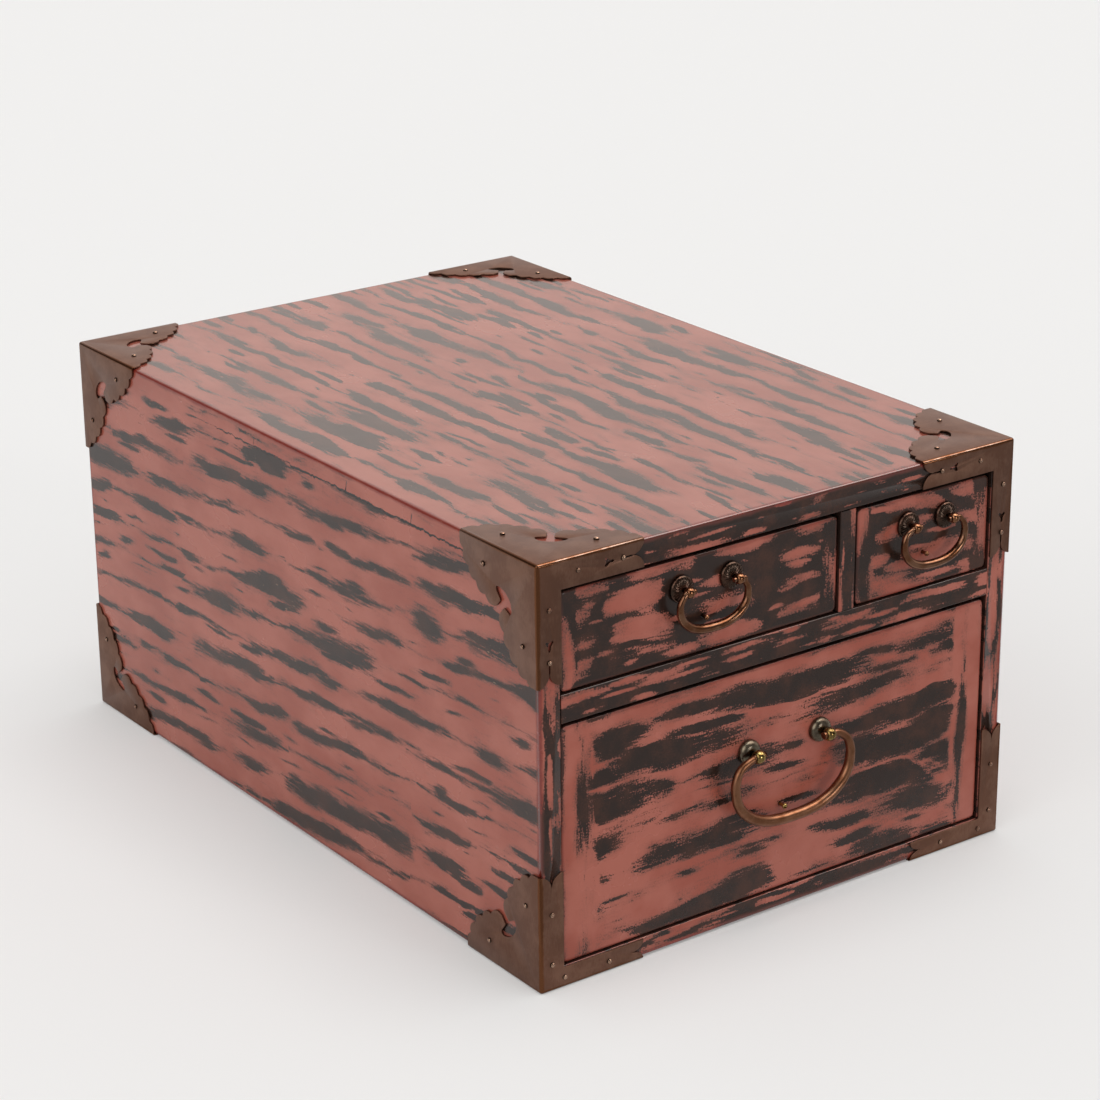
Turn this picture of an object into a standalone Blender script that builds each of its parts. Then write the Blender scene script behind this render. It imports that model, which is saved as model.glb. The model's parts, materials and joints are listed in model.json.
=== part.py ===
# Table-top chest of three drawers in lacquered wood, with sheet-copper corner fittings and bail handles.
# Metres, +Z up, +Y into the chest. The origin is under the middle of the whole chest, where it stands.

from math import cos, exp, pi, radians, sin

import bmesh
import bpy
from mathutils import Matrix, Vector

# Case
case_width = 0.2390
case_depth = 0.3536
case_height = 0.1758
side_thickness = 0.0102
top_thickness = 0.0110
top_lip = 0.0078  # upper part of the top board, which covers the ends of the sides
bottom_thickness = 0.0077
back_thickness = 0.0070
rabbet_width = 0.0050  # how far the bottom and back boards reach into the sides
rail_underside_share = 0.6257  # of the case's height
rail_height = 0.0118
rail_depth = 0.0200
dust_board_thickness = 0.0060
housing_depth = 0.0030  # how far the dust board reaches into the sides
left_bay_share = 0.6520  # of the width that the partition leaves
partition_thickness = 0.0080
case_edge_radius = 0.0012

# Joinery
joint_gap = 0.0003  # between pieces that seat on each other
tongue_thickness = 0.0030
tongue_reach = 0.0024
tongue_setback = 0.0080  # from the front of the case, so that no tongue shows
tenon_height = 0.0056
tenon_length = 0.0040
overrun = 0.0020  # how far a cutter passes the face that it opens
weld_distance = 0.000001
edge_tolerance_share = 0.0001  # of a box, in telling which of its edges lie on a side

# Drawers
front_thickness = 0.0120
front_recess = 0.0010
front_corner_radius = 0.0025
front_edge_radius = 0.0012
front_lap = 0.0060  # depth of the rabbets behind a drawer front
drawer_top_clearance = 0.0017
drawer_end_clearance = 0.0005
drawer_back_clearance = 0.0040
right_drawer_shrinkage = 0.0010  # the right drawer is a little narrow for its bay
wall_thickness = 0.0056
wall_relief = 0.0015  # how much lower the walls are than the front
drawer_bottom_thickness = 0.0040

# Corner fittings
plate_thickness = 0.0007
plate_leg = 0.0500
fold_radius = 0.0012
fish_tail_depth = 0.0060
slit_length = 0.0040  # from the notch of an upper fish tail towards the corner
slit_width = 0.0007
front_style = {
    "lobe_count": 5,
    "bulge": 0.0055,
    "lobe_height": 0.0018,
    "mouth_gap": 0.0032,
    "mouth_share": 0.500,
}
back_style = {
    "lobe_count": 5,
    "bulge": 0.0040,
    "lobe_height": 0.0017,
    "mouth_gap": 0.0024,
    "mouth_share": 0.460,
}
eye_core_radius = 0.0009
eye_tail_reach = 0.0019
eye_lobe_reach = 0.0013
eye_tail_spread = 0.35  # radians
eye_lobe_spread = 0.50
eye_lobe_turn = radians(130)  # from the tail
nail_head_radius = 0.0012
nail_head_height = 0.0009
# The cut-out inside the mouth between two wings, as shares of plate_leg along the diagonal and across it
mouth_shares = (
    (0.628, 0.036),
    (0.622, 0.076),
    (0.616, 0.118),
    (0.596, 0.142),
    (0.566, 0.124),
    (0.542, 0.088),
    (0.524, 0.044),
    (0.520, 0.000),
    (0.526, -0.046),
    (0.548, -0.086),
    (0.578, -0.108),
    (0.606, -0.104),
    (0.618, -0.066),
    (0.628, -0.030),
)
wing_nail_shares = ((0.69, 0.19), (0.19, 0.70))
upper_arm_nail_shares = (0.38, 0.80)
lower_arm_nail_shares = (0.23, 0.66)
arm_eye_share = 0.66

# Handles: stand_off is from the drawer front to the axis of the bail
small_handle = {
    "axis_height_share": 0.7049,  # of the drawer front
    "post_spacing": 0.0245,
    "bail_half_width": 0.0166,
    "bail_drop": 0.0168,
    "bail_radius": 0.0019,
    "bail_end_radius": 0.0010,
    "stand_off": 0.0057,
    "washer_radius": 0.0056,
    "washer_dome": 0.0026,
    "post_head_radius": 0.0022,
    "post_head_width": 0.0034,
    "post_radius": 0.0009,
    "stud_below_axis": 0.0138,
    "stud_radius": 0.0011,
}
narrow_handle = {
    "axis_height_share": 0.7049,
    "post_spacing": 0.0203,
    "bail_half_width": 0.0163,
    "bail_drop": 0.0172,
    "bail_radius": 0.0019,
    "bail_end_radius": 0.0010,
    "stand_off": 0.0057,
    "washer_radius": 0.0056,
    "washer_dome": 0.0026,
    "post_head_radius": 0.0022,
    "post_head_width": 0.0034,
    "post_radius": 0.0009,
    "stud_below_axis": 0.0138,
    "stud_radius": 0.0011,
}
large_handle = {
    "axis_height_share": 0.6520,
    "post_spacing": 0.0368,
    "bail_half_width": 0.0298,
    "bail_drop": 0.0306,
    "bail_radius": 0.0024,
    "bail_end_radius": 0.0015,
    "stand_off": 0.0069,
    "washer_radius": 0.0052,
    "washer_dome": 0.0034,
    "post_head_radius": 0.0028,
    "post_head_width": 0.0040,
    "post_radius": 0.0011,
    "stud_below_axis": 0.0277,
    "stud_radius": 0.0012,
}
handle_side_offset = 0.0012  # the handles sit a little right of each front's middle
eye_clearance = 0.0003
bail_tip_reach = 0.0012  # past the inner face of the post's head
pin_leg_length = 0.0065
pin_leg_thickness = 0.0008
stud_sink = 0.0070
stud_neck_share = 0.6
bail_swell_power = 0.6  # how quickly a bail thickens from its ends
washer_rim_share = 0.25
# The right half of a bail from its shoulder to its lowest point, as shares of half width and drop
bail_shares = (
    (0.905, -0.100),
    (0.985, -0.235),
    (1.000, -0.400),
    (0.945, -0.610),
    (0.780, -0.800),
    (0.500, -0.942),
    (0.230, -0.992),
)

# Fineness of round shapes
rounding_segments = 2
corner_segments = 3
round_sides = 12
turned_steps = 16
lobe_steps = 3
eye_steps = 18
nail_sides = 8
nail_rings = 4
bail_resolution = 2
bail_bevel_resolution = 2
sharp_angle = radians(35)

# Places that follow from the sizes above
metal_out = plate_thickness + joint_gap  # how far the fittings stand outside the wood
wood_floor = metal_out
wood_top = wood_floor + case_height
front_reach = large_handle["stand_off"] + large_handle["post_head_radius"] - front_recess
back_reach = metal_out + nail_head_height
case_front = front_reach - (front_reach + case_depth + back_reach) / 2
case_back = case_front + case_depth
case_right = case_width / 2
case_left = -case_right
inner_left = case_left + side_thickness
inner_right = case_right - side_thickness
partition_left = inner_left + (inner_right - inner_left - partition_thickness) * left_bay_share
partition_right = partition_left + partition_thickness
rail_bottom = wood_floor + case_height * rail_underside_share
rail_top = rail_bottom + rail_height
ceiling = wood_top - top_thickness
lower_floor = wood_floor + bottom_thickness
back_inside = case_back - back_thickness
drawer_face = case_front + front_recess
drawer_end = back_inside - drawer_back_clearance


def clear_scene():
    for obj in list(bpy.data.objects):
        bpy.data.objects.remove(obj)


def make_collection(name, hidden=False):
    made = bpy.data.collections.new(name)
    made.hide_render = hidden
    bpy.context.scene.collection.children.link(made)
    return made


def make_material(name, color, roughness, metallic=0.0):
    made = bpy.data.materials.new(name)
    made.use_nodes = True
    shader = made.node_tree.nodes["Principled BSDF"]
    shader.inputs["Base Color"].default_value = (*color, 1.0)
    shader.inputs["Roughness"].default_value = roughness
    shader.inputs["Metallic"].default_value = metallic
    made.diffuse_color = (*color, 1.0)
    return made


def place(name, data, material=None, home=None):
    """Puts a mesh or a curve in the scene as an object, in the chest or among the cutters."""
    made = bpy.data.objects.new(name, data)
    if material:
        data.materials.append(material)
    (home or chest).objects.link(made)
    if home is cutters:
        made.hide_render = True
        made.display_type = "WIRE"
    return made


def mesh_from(shape, name):
    mesh = bpy.data.meshes.new(name)
    shape.to_mesh(mesh)
    shape.free()
    return mesh


def smooth(mesh):
    mesh.shade_smooth()
    mesh.set_sharp_from_angle(angle=sharp_angle)


def box_shape(low, high):
    """A box about its own middle, and that middle."""
    low, high = Vector(low), Vector(high)
    size = high - low
    shape = bmesh.new()
    bmesh.ops.create_cube(shape, size=1.0, matrix=Matrix.Diagonal((*size, 1.0)))
    return shape, (low + high) / 2


def faces_at(shape, edge, sides):
    """Whether a box's edge lies on each of the named sides, such as '-x'."""
    for side in sides:
        axis = "xyz".index(side[1])
        sign = -1 if side[0] == "-" else 1
        outermost = max(sign * vert.co[axis] for vert in shape.verts)
        if any(sign * vert.co[axis] < outermost * (1 - edge_tolerance_share) for vert in edge.verts):
            return False
    return True


def ease(shape, edges, radius, segments):
    """Rounds the edges of a box where two of its sides meet."""
    chosen = [edge for edge in shape.edges if any(faces_at(shape, edge, pair) for pair in edges)]
    bmesh.ops.bevel(shape, geom=chosen, offset=radius, segments=segments, profile=0.5, affect="EDGES")


def board(name, low, high, material, edges=(), radius=case_edge_radius):
    shape, middle = box_shape(low, high)
    if edges:
        ease(shape, edges, radius, rounding_segments)
    made = place(name, mesh_from(shape, name), material)
    made.location = middle
    return made


def block(name, low, high):
    """A box among the cutters, to cut from a board or join to it."""
    shape, middle = box_shape(low, high)
    made = place(name, mesh_from(shape, name), home=cutters)
    made.location = middle
    return made


def rod(name, start, end, radius, sides=round_sides):
    """A round bar among the cutters, from one point to another."""
    start, end = Vector(start), Vector(end)
    shape = bmesh.new()
    bmesh.ops.create_cone(
        shape, cap_ends=True, segments=sides, radius1=radius, radius2=radius, depth=(end - start).length
    )
    made = place(name, mesh_from(shape, name), home=cutters)
    made.location = (start + end) / 2
    made.rotation_euler = (end - start).to_track_quat("Z", "Y").to_euler()
    return made


def combine(target, other, operation):
    modifier = target.modifiers.new(other.name, "BOOLEAN")
    modifier.operation = operation
    modifier.solver = "EXACT"
    modifier.object = other


def cut(target, *others):
    for other in others:
        combine(target, other, "DIFFERENCE")


def join(target, *others):
    for other in others:
        combine(target, other, "UNION")


def evaluated_mesh(obj):
    """The mesh of an object after its modifiers, with its caps welded on."""
    bpy.context.view_layer.update()
    graph = bpy.context.evaluated_depsgraph_get()
    mesh = bpy.data.meshes.new_from_object(obj.evaluated_get(graph))
    shape = bmesh.new()
    shape.from_mesh(mesh)
    bmesh.ops.remove_doubles(shape, verts=shape.verts, dist=weld_distance)
    shape.to_mesh(mesh)
    shape.free()
    return mesh


def turned(name, profile, steps, material=None, home=None):
    """A turned shape round its own Z from (radius, height) points that run down its outer side."""
    mesh = bpy.data.meshes.new(name)
    points = [(radius, 0, height) for radius, height in profile]
    closed = profile[0][0] > 0
    count = len(points)
    edges = [(i, (i + 1) % count) for i in range(count if closed else count - 1)]
    mesh.from_pydata(points, edges, [])
    made = place(name, mesh, material, home)
    screw = made.modifiers.new("turn", "SCREW")
    screw.steps = steps
    screw.render_steps = steps
    screw.use_merge_vertices = True
    screw.merge_threshold = weld_distance
    screw.use_smooth_shade = True
    return made


# Case


def case_side(name, outer, inner):
    """One side board. It takes the rail, the dust board, the bottom and the back in its inner face."""
    inward = 1 if inner > outer else -1
    side_top = wood_top - top_lip - joint_gap
    face = "-x" if inward > 0 else "+x"
    made = board(
        name,
        (min(outer, inner), case_front, wood_floor),
        (max(outer, inner), case_back, side_top),
        lacquer,
        edges=((face, "-y"), (face, "+y"), (face, "-z")),
    )
    past = inner + inward * overrun
    rabbet = inner - inward * rabbet_width
    housing = inner - inward * housing_depth
    mortise = inner - inward * (tenon_length + joint_gap)
    rail_middle = (rail_bottom + rail_top) / 2
    cuts = {
        "bottom_rabbet": (
            (rabbet, case_front - overrun, wood_floor - overrun),
            (past, case_back + overrun, lower_floor + joint_gap),
        ),
        "back_rabbet": (
            (rabbet, back_inside - joint_gap, wood_floor - overrun),
            (past, case_back + overrun, side_top + overrun),
        ),
        "dust_board_housing": (
            (housing, case_front + rail_depth, rail_top - dust_board_thickness - joint_gap),
            (past, case_back + overrun, rail_top + joint_gap),
        ),
        "rail_mortise": (
            (mortise, case_front + tongue_setback - joint_gap, rail_middle - tenon_height / 2 - joint_gap),
            (past, case_front + rail_depth - tenon_length, rail_middle + tenon_height / 2 + joint_gap),
        ),
    }
    for what, (start, end) in cuts.items():
        low = [min(pair) for pair in zip(start, end)]
        high = [max(pair) for pair in zip(start, end)]
        cut(made, block(name + "_" + what, low, high))
    return made


def case_top():
    made = board(
        "top_board",
        (case_left, case_front, ceiling),
        (case_right, case_back, wood_top),
        lacquer,
        edges=(
            ("+z", "-x"), ("+z", "+x"), ("+z", "-y"), ("+z", "+y"),
            ("-x", "-y"), ("-x", "+y"), ("+x", "-y"), ("+x", "+y"),
        ),
    )
    below, lip_underside = ceiling - overrun, wood_top - top_lip
    front, back = case_front - overrun, case_back + overrun
    left, right = case_left - overrun, case_right + overrun
    rear = back_inside - joint_gap
    cut(
        made,
        block("top_left_rabbet", (left, front, below), (inner_left + joint_gap, back, lip_underside)),
        block("top_right_rabbet", (inner_right - joint_gap, front, below), (right, back, lip_underside)),
        block("top_back_rabbet", (left, rear, below), (right, back, lip_underside)),
        partition_groove("top_groove", below, ceiling + tongue_reach + joint_gap),
    )


def partition_groove(name, bottom, top):
    """The groove that takes one tongue of the partition."""
    middle = (partition_left + partition_right) / 2
    half = tongue_thickness / 2 + joint_gap
    return block(
        name,
        (middle - half, case_front + tongue_setback - joint_gap, bottom),
        (middle + half, back_inside + overrun, top),
    )


def case_bottom():
    reach = side_thickness - rabbet_width + joint_gap
    board(
        "bottom_board",
        (case_left + reach, case_front, wood_floor),
        (case_right - reach, case_back, lower_floor),
        lacquer,
    )


def case_back_board():
    reach = side_thickness - rabbet_width + joint_gap
    board(
        "back_board",
        (case_left + reach, back_inside, lower_floor + joint_gap),
        (case_right - reach, case_back, wood_top - top_lip - joint_gap),
        lacquer,
    )


def middle_rail():
    made = board(
        "middle_rail",
        (inner_left + joint_gap, case_front, rail_bottom),
        (inner_right - joint_gap, case_front + rail_depth, rail_top),
        lacquer,
    )
    middle = (rail_bottom + rail_top) / 2
    low, high = middle - tenon_height / 2, middle + tenon_height / 2
    front, back = case_front + tongue_setback, case_front + rail_depth - tenon_length - joint_gap
    join(
        made,
        block("left_tenon", (inner_left - tenon_length, front, low), (inner_left + overrun, back, high)),
        block("right_tenon", (inner_right - overrun, front, low), (inner_right + tenon_length, back, high)),
    )
    tongue_middle = rail_top - dust_board_thickness / 2
    half = tongue_thickness / 2 + joint_gap
    rear = case_front + rail_depth
    cut(
        made,
        block(
            "rail_groove",
            (case_left, rear - tongue_reach - joint_gap, tongue_middle - half),
            (case_right, rear + overrun, tongue_middle + half),
        ),
        partition_groove("rail_top_groove", rail_top - tongue_reach - joint_gap, rail_top + overrun),
    )


def dust_board():
    rear = case_front + rail_depth
    reach = housing_depth - joint_gap
    made = board(
        "dust_board",
        (inner_left - reach, rear + joint_gap, rail_top - dust_board_thickness),
        (inner_right + reach, back_inside - joint_gap, rail_top),
        plain_wood,
    )
    middle = rail_top - dust_board_thickness / 2
    half = tongue_thickness / 2
    tongue = block(
        "dust_board_tongue",
        (inner_left + joint_gap, rear - tongue_reach, middle - half),
        (inner_right - joint_gap, rear + overrun, middle + half),
    )
    join(made, tongue)
    cut(made, partition_groove("dust_board_groove", rail_top - tongue_reach - joint_gap, rail_top + overrun))


def partition():
    made = board(
        "partition",
        (partition_left, case_front, rail_top + joint_gap),
        (partition_right, back_inside - joint_gap, ceiling - joint_gap),
        lacquer,
    )
    middle = (partition_left + partition_right) / 2
    half = tongue_thickness / 2
    left, right = middle - half, middle + half
    front, back = case_front + tongue_setback, back_inside - joint_gap
    join(
        made,
        block("upper_tongue", (left, front, ceiling - overrun), (right, back, ceiling + tongue_reach)),
        block("lower_tongue", (left, front, rail_top - tongue_reach), (right, back, rail_top + overrun)),
    )


def build_case():
    case_side("left_side_board", case_left, inner_left)
    case_side("right_side_board", case_right, inner_right)
    case_top()
    case_bottom()
    case_back_board()
    middle_rail()
    dust_board()
    partition()


# Drawers


def bay_of(side):
    """Left, right, floor and ceiling of the space that a drawer runs in."""
    if side == "left":
        return inner_left, partition_left, rail_top, ceiling
    if side == "right":
        return partition_right + right_drawer_shrinkage, inner_right, rail_top, ceiling
    return inner_left, inner_right, lower_floor, rail_bottom


def drawer_front(name, low, high):
    shape, middle = box_shape(low, high)
    ease(
        shape,
        (("-x", "-z"), ("-x", "+z"), ("+x", "-z"), ("+x", "+z")),
        front_corner_radius,
        corner_segments,
    )
    nearly_front = min(vert.co.y for vert in shape.verts) * (1 - edge_tolerance_share)
    rim = [edge for edge in shape.edges if all(vert.co.y < nearly_front for vert in edge.verts)]
    bmesh.ops.bevel(
        shape, geom=rim, offset=front_edge_radius, segments=rounding_segments, profile=0.5, affect="EDGES"
    )
    made = place(name, mesh_from(shape, name), lacquer)
    made.location = middle
    return made


def build_drawer(side, handle):
    left, right, floor, roof = bay_of(side)
    low = Vector((left + drawer_end_clearance, drawer_face, floor + joint_gap))
    high = Vector((right - drawer_end_clearance, drawer_face + front_thickness, roof - drawer_top_clearance))
    runner = bpy.data.objects.new(side + "_drawer_slide", None)
    chest.objects.link(runner)
    runner.location = ((low.x + high.x) / 2, drawer_face, low.z)

    front = drawer_front(side + "_drawer_front", low, high)
    outer_left, outer_right = low.x + joint_gap, high.x - joint_gap
    wall_bottom = low.z + drawer_bottom_thickness + joint_gap
    wall_top = high.z - wall_relief
    lap_start = high.y - front_lap
    step = wall_thickness + joint_gap
    first = (low.x - overrun, lap_start, low.z - overrun)
    last = high + Vector((overrun,) * 3)
    cut(
        front,
        block(side + "_left_lap", first, (outer_left + step, last.y, last.z)),
        block(side + "_right_lap", (outer_right - step, first[1], first[2]), last),
        block(side + "_bottom_lap", first, (last.x, last.y, wall_bottom)),
    )
    wall_start = lap_start + joint_gap
    pieces = [
        front,
        board(
            side + "_drawer_left_wall",
            (outer_left, wall_start, wall_bottom),
            (outer_left + wall_thickness, drawer_end, wall_top),
            plain_wood,
        ),
        board(
            side + "_drawer_right_wall",
            (outer_right - wall_thickness, wall_start, wall_bottom),
            (outer_right, drawer_end, wall_top),
            plain_wood,
        ),
        board(
            side + "_drawer_back",
            (outer_left + step, drawer_end - wall_thickness, wall_bottom),
            (outer_right - step, drawer_end, wall_top),
            plain_wood,
        ),
        board(
            side + "_drawer_bottom",
            (outer_left, wall_start, low.z),
            (outer_right, drawer_end, low.z + drawer_bottom_thickness),
            plain_wood,
        ),
    ]
    across = (low.x + high.x) / 2 + handle_side_offset
    up = low.z + (high.z - low.z) * handle["axis_height_share"]
    axis = Vector((across, drawer_face - handle["stand_off"], up))
    pieces += build_handle(side, handle, axis, front)
    bpy.context.view_layer.update()
    for piece in pieces:
        piece.parent = runner
        piece.matrix_parent_inverse = runner.matrix_world.inverted()


# Handles


def washer(name, handle):
    """A domed disc with a hole for the post, its flat side on the drawer front."""
    hole = handle["post_radius"] + joint_gap
    rim = handle["washer_radius"]
    rise = handle["washer_dome"]
    rim_height = rise * washer_rim_share
    profile = []
    for i in range(lobe_steps + 2):
        turn = pi / 2 * i / (lobe_steps + 1)
        radius = hole + (rim - hole) * sin(turn)
        profile.append((radius, rim_height + (rise - rim_height) * cos(turn)))
    profile.append((rim, 0))
    profile.append((hole, 0))
    return turned(name, profile, turned_steps, fitting_metal)


def post_head(name, handle):
    """The eye of a post: a thick ring about X with rounded sides."""
    hole = handle["bail_end_radius"] + eye_clearance
    outer = handle["post_head_radius"]
    half = handle["post_head_width"] / 2
    crown = outer - hole
    profile = [(hole, half)]
    for i in range(1, lobe_steps + 2):
        turn = pi * i / (lobe_steps + 2)
        profile.append((hole + crown * sin(turn), half * cos(turn)))
    profile.append((hole, -half))
    made = turned(name, profile, turned_steps, home=cutters)
    made.rotation_euler = (0, pi / 2, 0)
    return made


def post(name, handle, place_at, inside):
    """A split pin: its eye holds the bail, and its legs are bent flat inside the drawer front."""
    radius = handle["post_radius"]
    start = Vector((0, handle["bail_end_radius"] + eye_clearance + radius / 4, 0))
    end = Vector((0, inside - place_at.y + joint_gap + pin_leg_thickness, 0))
    length = (end - start).length
    shape = bmesh.new()
    bmesh.ops.create_cone(
        shape, cap_ends=True, segments=round_sides, radius1=radius, radius2=radius, depth=length,
        matrix=Matrix.Translation((start + end) / 2) @ Matrix.Rotation(pi / 2, 4, "X"),
    )
    mesh = mesh_from(shape, name)
    smooth(mesh)
    made = place(name, mesh, fitting_metal)
    made.location = place_at
    head = post_head(name + "_head", handle)
    head.location = place_at
    legs = block(
        name + "_legs",
        (place_at.x - pin_leg_length, inside + joint_gap, place_at.z - radius),
        (place_at.x + pin_leg_length, inside + joint_gap + pin_leg_thickness, place_at.z + radius),
    )
    join(made, head, legs)
    return made


def stud(name, handle):
    """The small round-headed nail that the hanging bail rests on."""
    radius = handle["stud_radius"]
    neck = radius * stud_neck_share
    top = handle["stand_off"] - handle["bail_radius"] - joint_gap
    profile = [(0, top)]
    for i in range(1, lobe_steps + 2):
        turn = pi / 2 * i / (lobe_steps + 1)
        profile.append((radius * sin(turn), top - radius + radius * cos(turn)))
    profile += [(neck, top - radius - (radius - neck)), (neck, -stud_sink), (0, -stud_sink)]
    made = turned(name, profile, round_sides, fitting_metal)
    made.rotation_euler = (pi / 2, 0, 0)
    return made


def bail(name, handle, axis):
    """The swinging grip: straight ends through the posts' eyes, then one tapered C outside them."""
    inner = handle["post_spacing"] / 2 - handle["post_head_width"] / 2 - bail_tip_reach
    outer = handle["post_spacing"] / 2 + handle["post_head_width"] / 2 + eye_clearance
    half, drop = handle["bail_half_width"], handle["bail_drop"]
    thick, thin = handle["bail_radius"], handle["bail_end_radius"]
    right = [(inner, 0, thin), (outer, 0, thin)]
    for x_share, z_share in bail_shares:
        along = min(-z_share, 1)
        right.append((half * x_share, drop * z_share, thin + (thick - thin) * along**bail_swell_power))
    points = right + [(0, -drop, thick)] + [(-x, z, radius) for x, z, radius in reversed(right)]

    curve = bpy.data.curves.new(name, "CURVE")
    curve.dimensions = "3D"
    curve.bevel_depth = 1.0
    curve.bevel_resolution = bail_bevel_resolution
    curve.resolution_u = bail_resolution
    curve.use_fill_caps = True
    spline = curve.splines.new("BEZIER")
    spline.bezier_points.add(len(points) - 1)
    for knot, (x, z, radius) in zip(spline.bezier_points, points):
        knot.co = (x, 0, z)
        knot.radius = radius
        knot.handle_left_type = knot.handle_right_type = "AUTO"
    straighten(spline.bezier_points, 0, 1)
    straighten(spline.bezier_points, -1, -2)
    made = place(name, curve, bail_metal)
    made.location = axis
    return made


def straighten(knots, end, shoulder):
    """Keeps a bail's end on its axis through the eye, up to the shoulder."""
    for which in (end, shoulder):
        knots[which].handle_left_type = knots[which].handle_right_type = "FREE"
    reach = (knots[end].co - knots[shoulder].co) / 3
    outward = -reach
    knots[end].handle_left = knots[end].co + (reach if end == 0 else outward)
    knots[end].handle_right = knots[end].co + (outward if end == 0 else reach)
    knots[shoulder].handle_left = knots[shoulder].co + (reach if end == 0 else outward)
    knots[shoulder].handle_right = knots[shoulder].co + (outward if end == 0 else reach)


def build_handle(side, handle, axis, front):
    inside = drawer_face + front_thickness
    made = []
    for which, sign in (("left", -1), ("right", 1)):
        centre = axis + Vector((sign * handle["post_spacing"] / 2, 0, 0))
        disc = washer(f"{side}_handle_{which}_washer", handle)
        disc.rotation_euler = (pi / 2, 0, 0)
        disc.location = (centre.x, drawer_face - joint_gap, centre.z)
        pin = post(f"{side}_handle_{which}_post", handle, centre, inside)
        hole = rod(
            f"{side}_{which}_post_hole",
            (centre.x, drawer_face - overrun, centre.z),
            (centre.x, inside + overrun, centre.z),
            handle["post_radius"] + joint_gap,
        )
        cut(front, hole)
        made += [disc, pin]
    foot = (axis.x - handle_side_offset, drawer_face, axis.z - handle["stud_below_axis"])
    rest = stud(f"{side}_handle_stud", handle)
    rest.location = foot
    socket = rod(
        f"{side}_stud_hole",
        (foot[0], drawer_face - overrun, foot[2]),
        (foot[0], drawer_face + stud_sink + joint_gap, foot[2]),
        handle["stud_radius"] * stud_neck_share + joint_gap,
    )
    cut(front, socket)
    grip = bail(f"{side}_bail", handle, axis)
    return made + [rest, grip]


# Corner fittings. Each is drawn at an origin on the chest's sharp corner, with X, Y and Z running inwards.


def lobed_wing(style):
    """The scalloped edge of one wing, from its tip on the first edge to the mouth."""
    lobes = style["lobe_count"]
    end = plate_leg * style["mouth_share"]
    aside = style["mouth_gap"] / (2 * 2**0.5)
    tip = Vector((plate_leg, 0))
    mouth = Vector((end + aside, end - aside))
    outward = Vector((1, 1)).normalized()
    cusps = []
    for i in range(lobes + 1):
        along = i / lobes
        cusps.append(tip.lerp(mouth, along) + outward * style["bulge"] * 4 * along * (1 - along))
    points = [tip]
    for start, finish in zip(cusps, cusps[1:]):
        across = (finish - start).normalized()
        bulge = Vector((across.y, -across.x))
        for i in range(1, lobe_steps + 1):
            along = i / lobe_steps
            points.append(start.lerp(finish, along) + bulge * style["lobe_height"] * 4 * along * (1 - along))
    return points


def boars_eye(centre, heading):
    """A heart-shaped piercing: a small core that swells into two lobes and a tail along the heading."""
    swellings = (
        (0, eye_tail_reach, eye_tail_spread),
        (eye_lobe_turn, eye_lobe_reach, eye_lobe_spread),
        (-eye_lobe_turn, eye_lobe_reach, eye_lobe_spread),
    )
    points = []
    for i in range(eye_steps):
        turn = 2 * pi * i / eye_steps
        reach = eye_core_radius
        for where, most, spread in swellings:
            away = (turn - where + pi) % (2 * pi) - pi
            reach += most * exp(-((away / spread) ** 2))
        points.append(centre + reach * Vector((cos(turn + heading), sin(turn + heading))))
    return points


def wing_edge(style):
    """The free edge of a three-cornered plate: two lobed wings and between them the mouth and its cut-out."""
    wing = lobed_wing(style)
    back = front_style["mouth_share"] - style["mouth_share"]
    cut_out = []
    for along, across in mouth_shares:
        diagonal = along / 2**0.5 - back
        aside = across / 2**0.5
        cut_out.append(Vector((diagonal + aside, diagonal - aside)) * plate_leg)
    other = [Vector((point.y, point.x)) for point in reversed(wing)]
    return wing + cut_out + other


def fish_tail(width, with_slit):
    """The end of an arm, two rounded tips with a notch between, as (across, along) from its outer side."""
    half = width / 2
    near = []
    for i in range(lobe_steps + 1):
        turn = pi / 2 * i / lobe_steps
        near.append(Vector((half * sin(turn), plate_leg - fish_tail_depth * (1 - cos(turn)))))
    if with_slit:
        near[-1].x = half - slit_width / 2
        near.append(near[-1] - Vector((0, slit_length)))
    far = [Vector((width - point.x, point.y)) for point in reversed(near)]
    return near + (far if with_slit else far[1:])


def arms_edge(along_first, along_second, with_slits):
    """The free edge of two arms, one along each edge of the corner, with the given widths."""
    first = [Vector((point.y, point.x)) for point in fish_tail(along_first, with_slits)]
    second = list(reversed(fish_tail(along_second, with_slits)))
    return first + [Vector((along_second, along_first))] + second


# Each turn takes an outline's first and second axes to the two edges of one face of the corner
face_turns = {
    "side": Matrix(((0, 0, 1, 0), (1, 0, 0, 0), (0, 1, 0, 0), (0, 0, 0, 1))),
    "front": Matrix(((0, 1, 0, 0), (0, 0, 1, 0), (1, 0, 0, 0), (0, 0, 0, 1))),
    "level": Matrix.Identity(4),
}


def through_plate(name, points, face):
    """A cutter of the given outline that goes through one face of the corner."""
    depth = plate_thickness + fold_radius
    curve = bpy.data.curves.new(name, "CURVE")
    curve.dimensions = "2D"
    curve.fill_mode = "BOTH"
    curve.extrude = (overrun + depth) / 2
    spline = curve.splines.new("POLY")
    spline.points.add(len(points) - 1)
    for knot, point in zip(spline.points, points):
        knot.co = (point.x, point.y, 0, 1)
    spline.use_cyclic_u = True
    flat = place(name + "_flat", curve, home=cutters)
    mesh = evaluated_mesh(flat)
    bpy.data.objects.remove(flat)
    made = place(name, mesh, home=cutters)
    made.matrix_world = face_turns[face] @ Matrix.Translation((0, 0, (depth - overrun) / 2))
    return made


def waste(name, edge, face):
    """A cutter for all of one face that lies beyond its free edge."""
    far = plate_leg + overrun
    beyond = [Vector((-overrun, far)), Vector((far, far)), Vector((far, -overrun))]
    return through_plate(name, edge + beyond, face)


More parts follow.
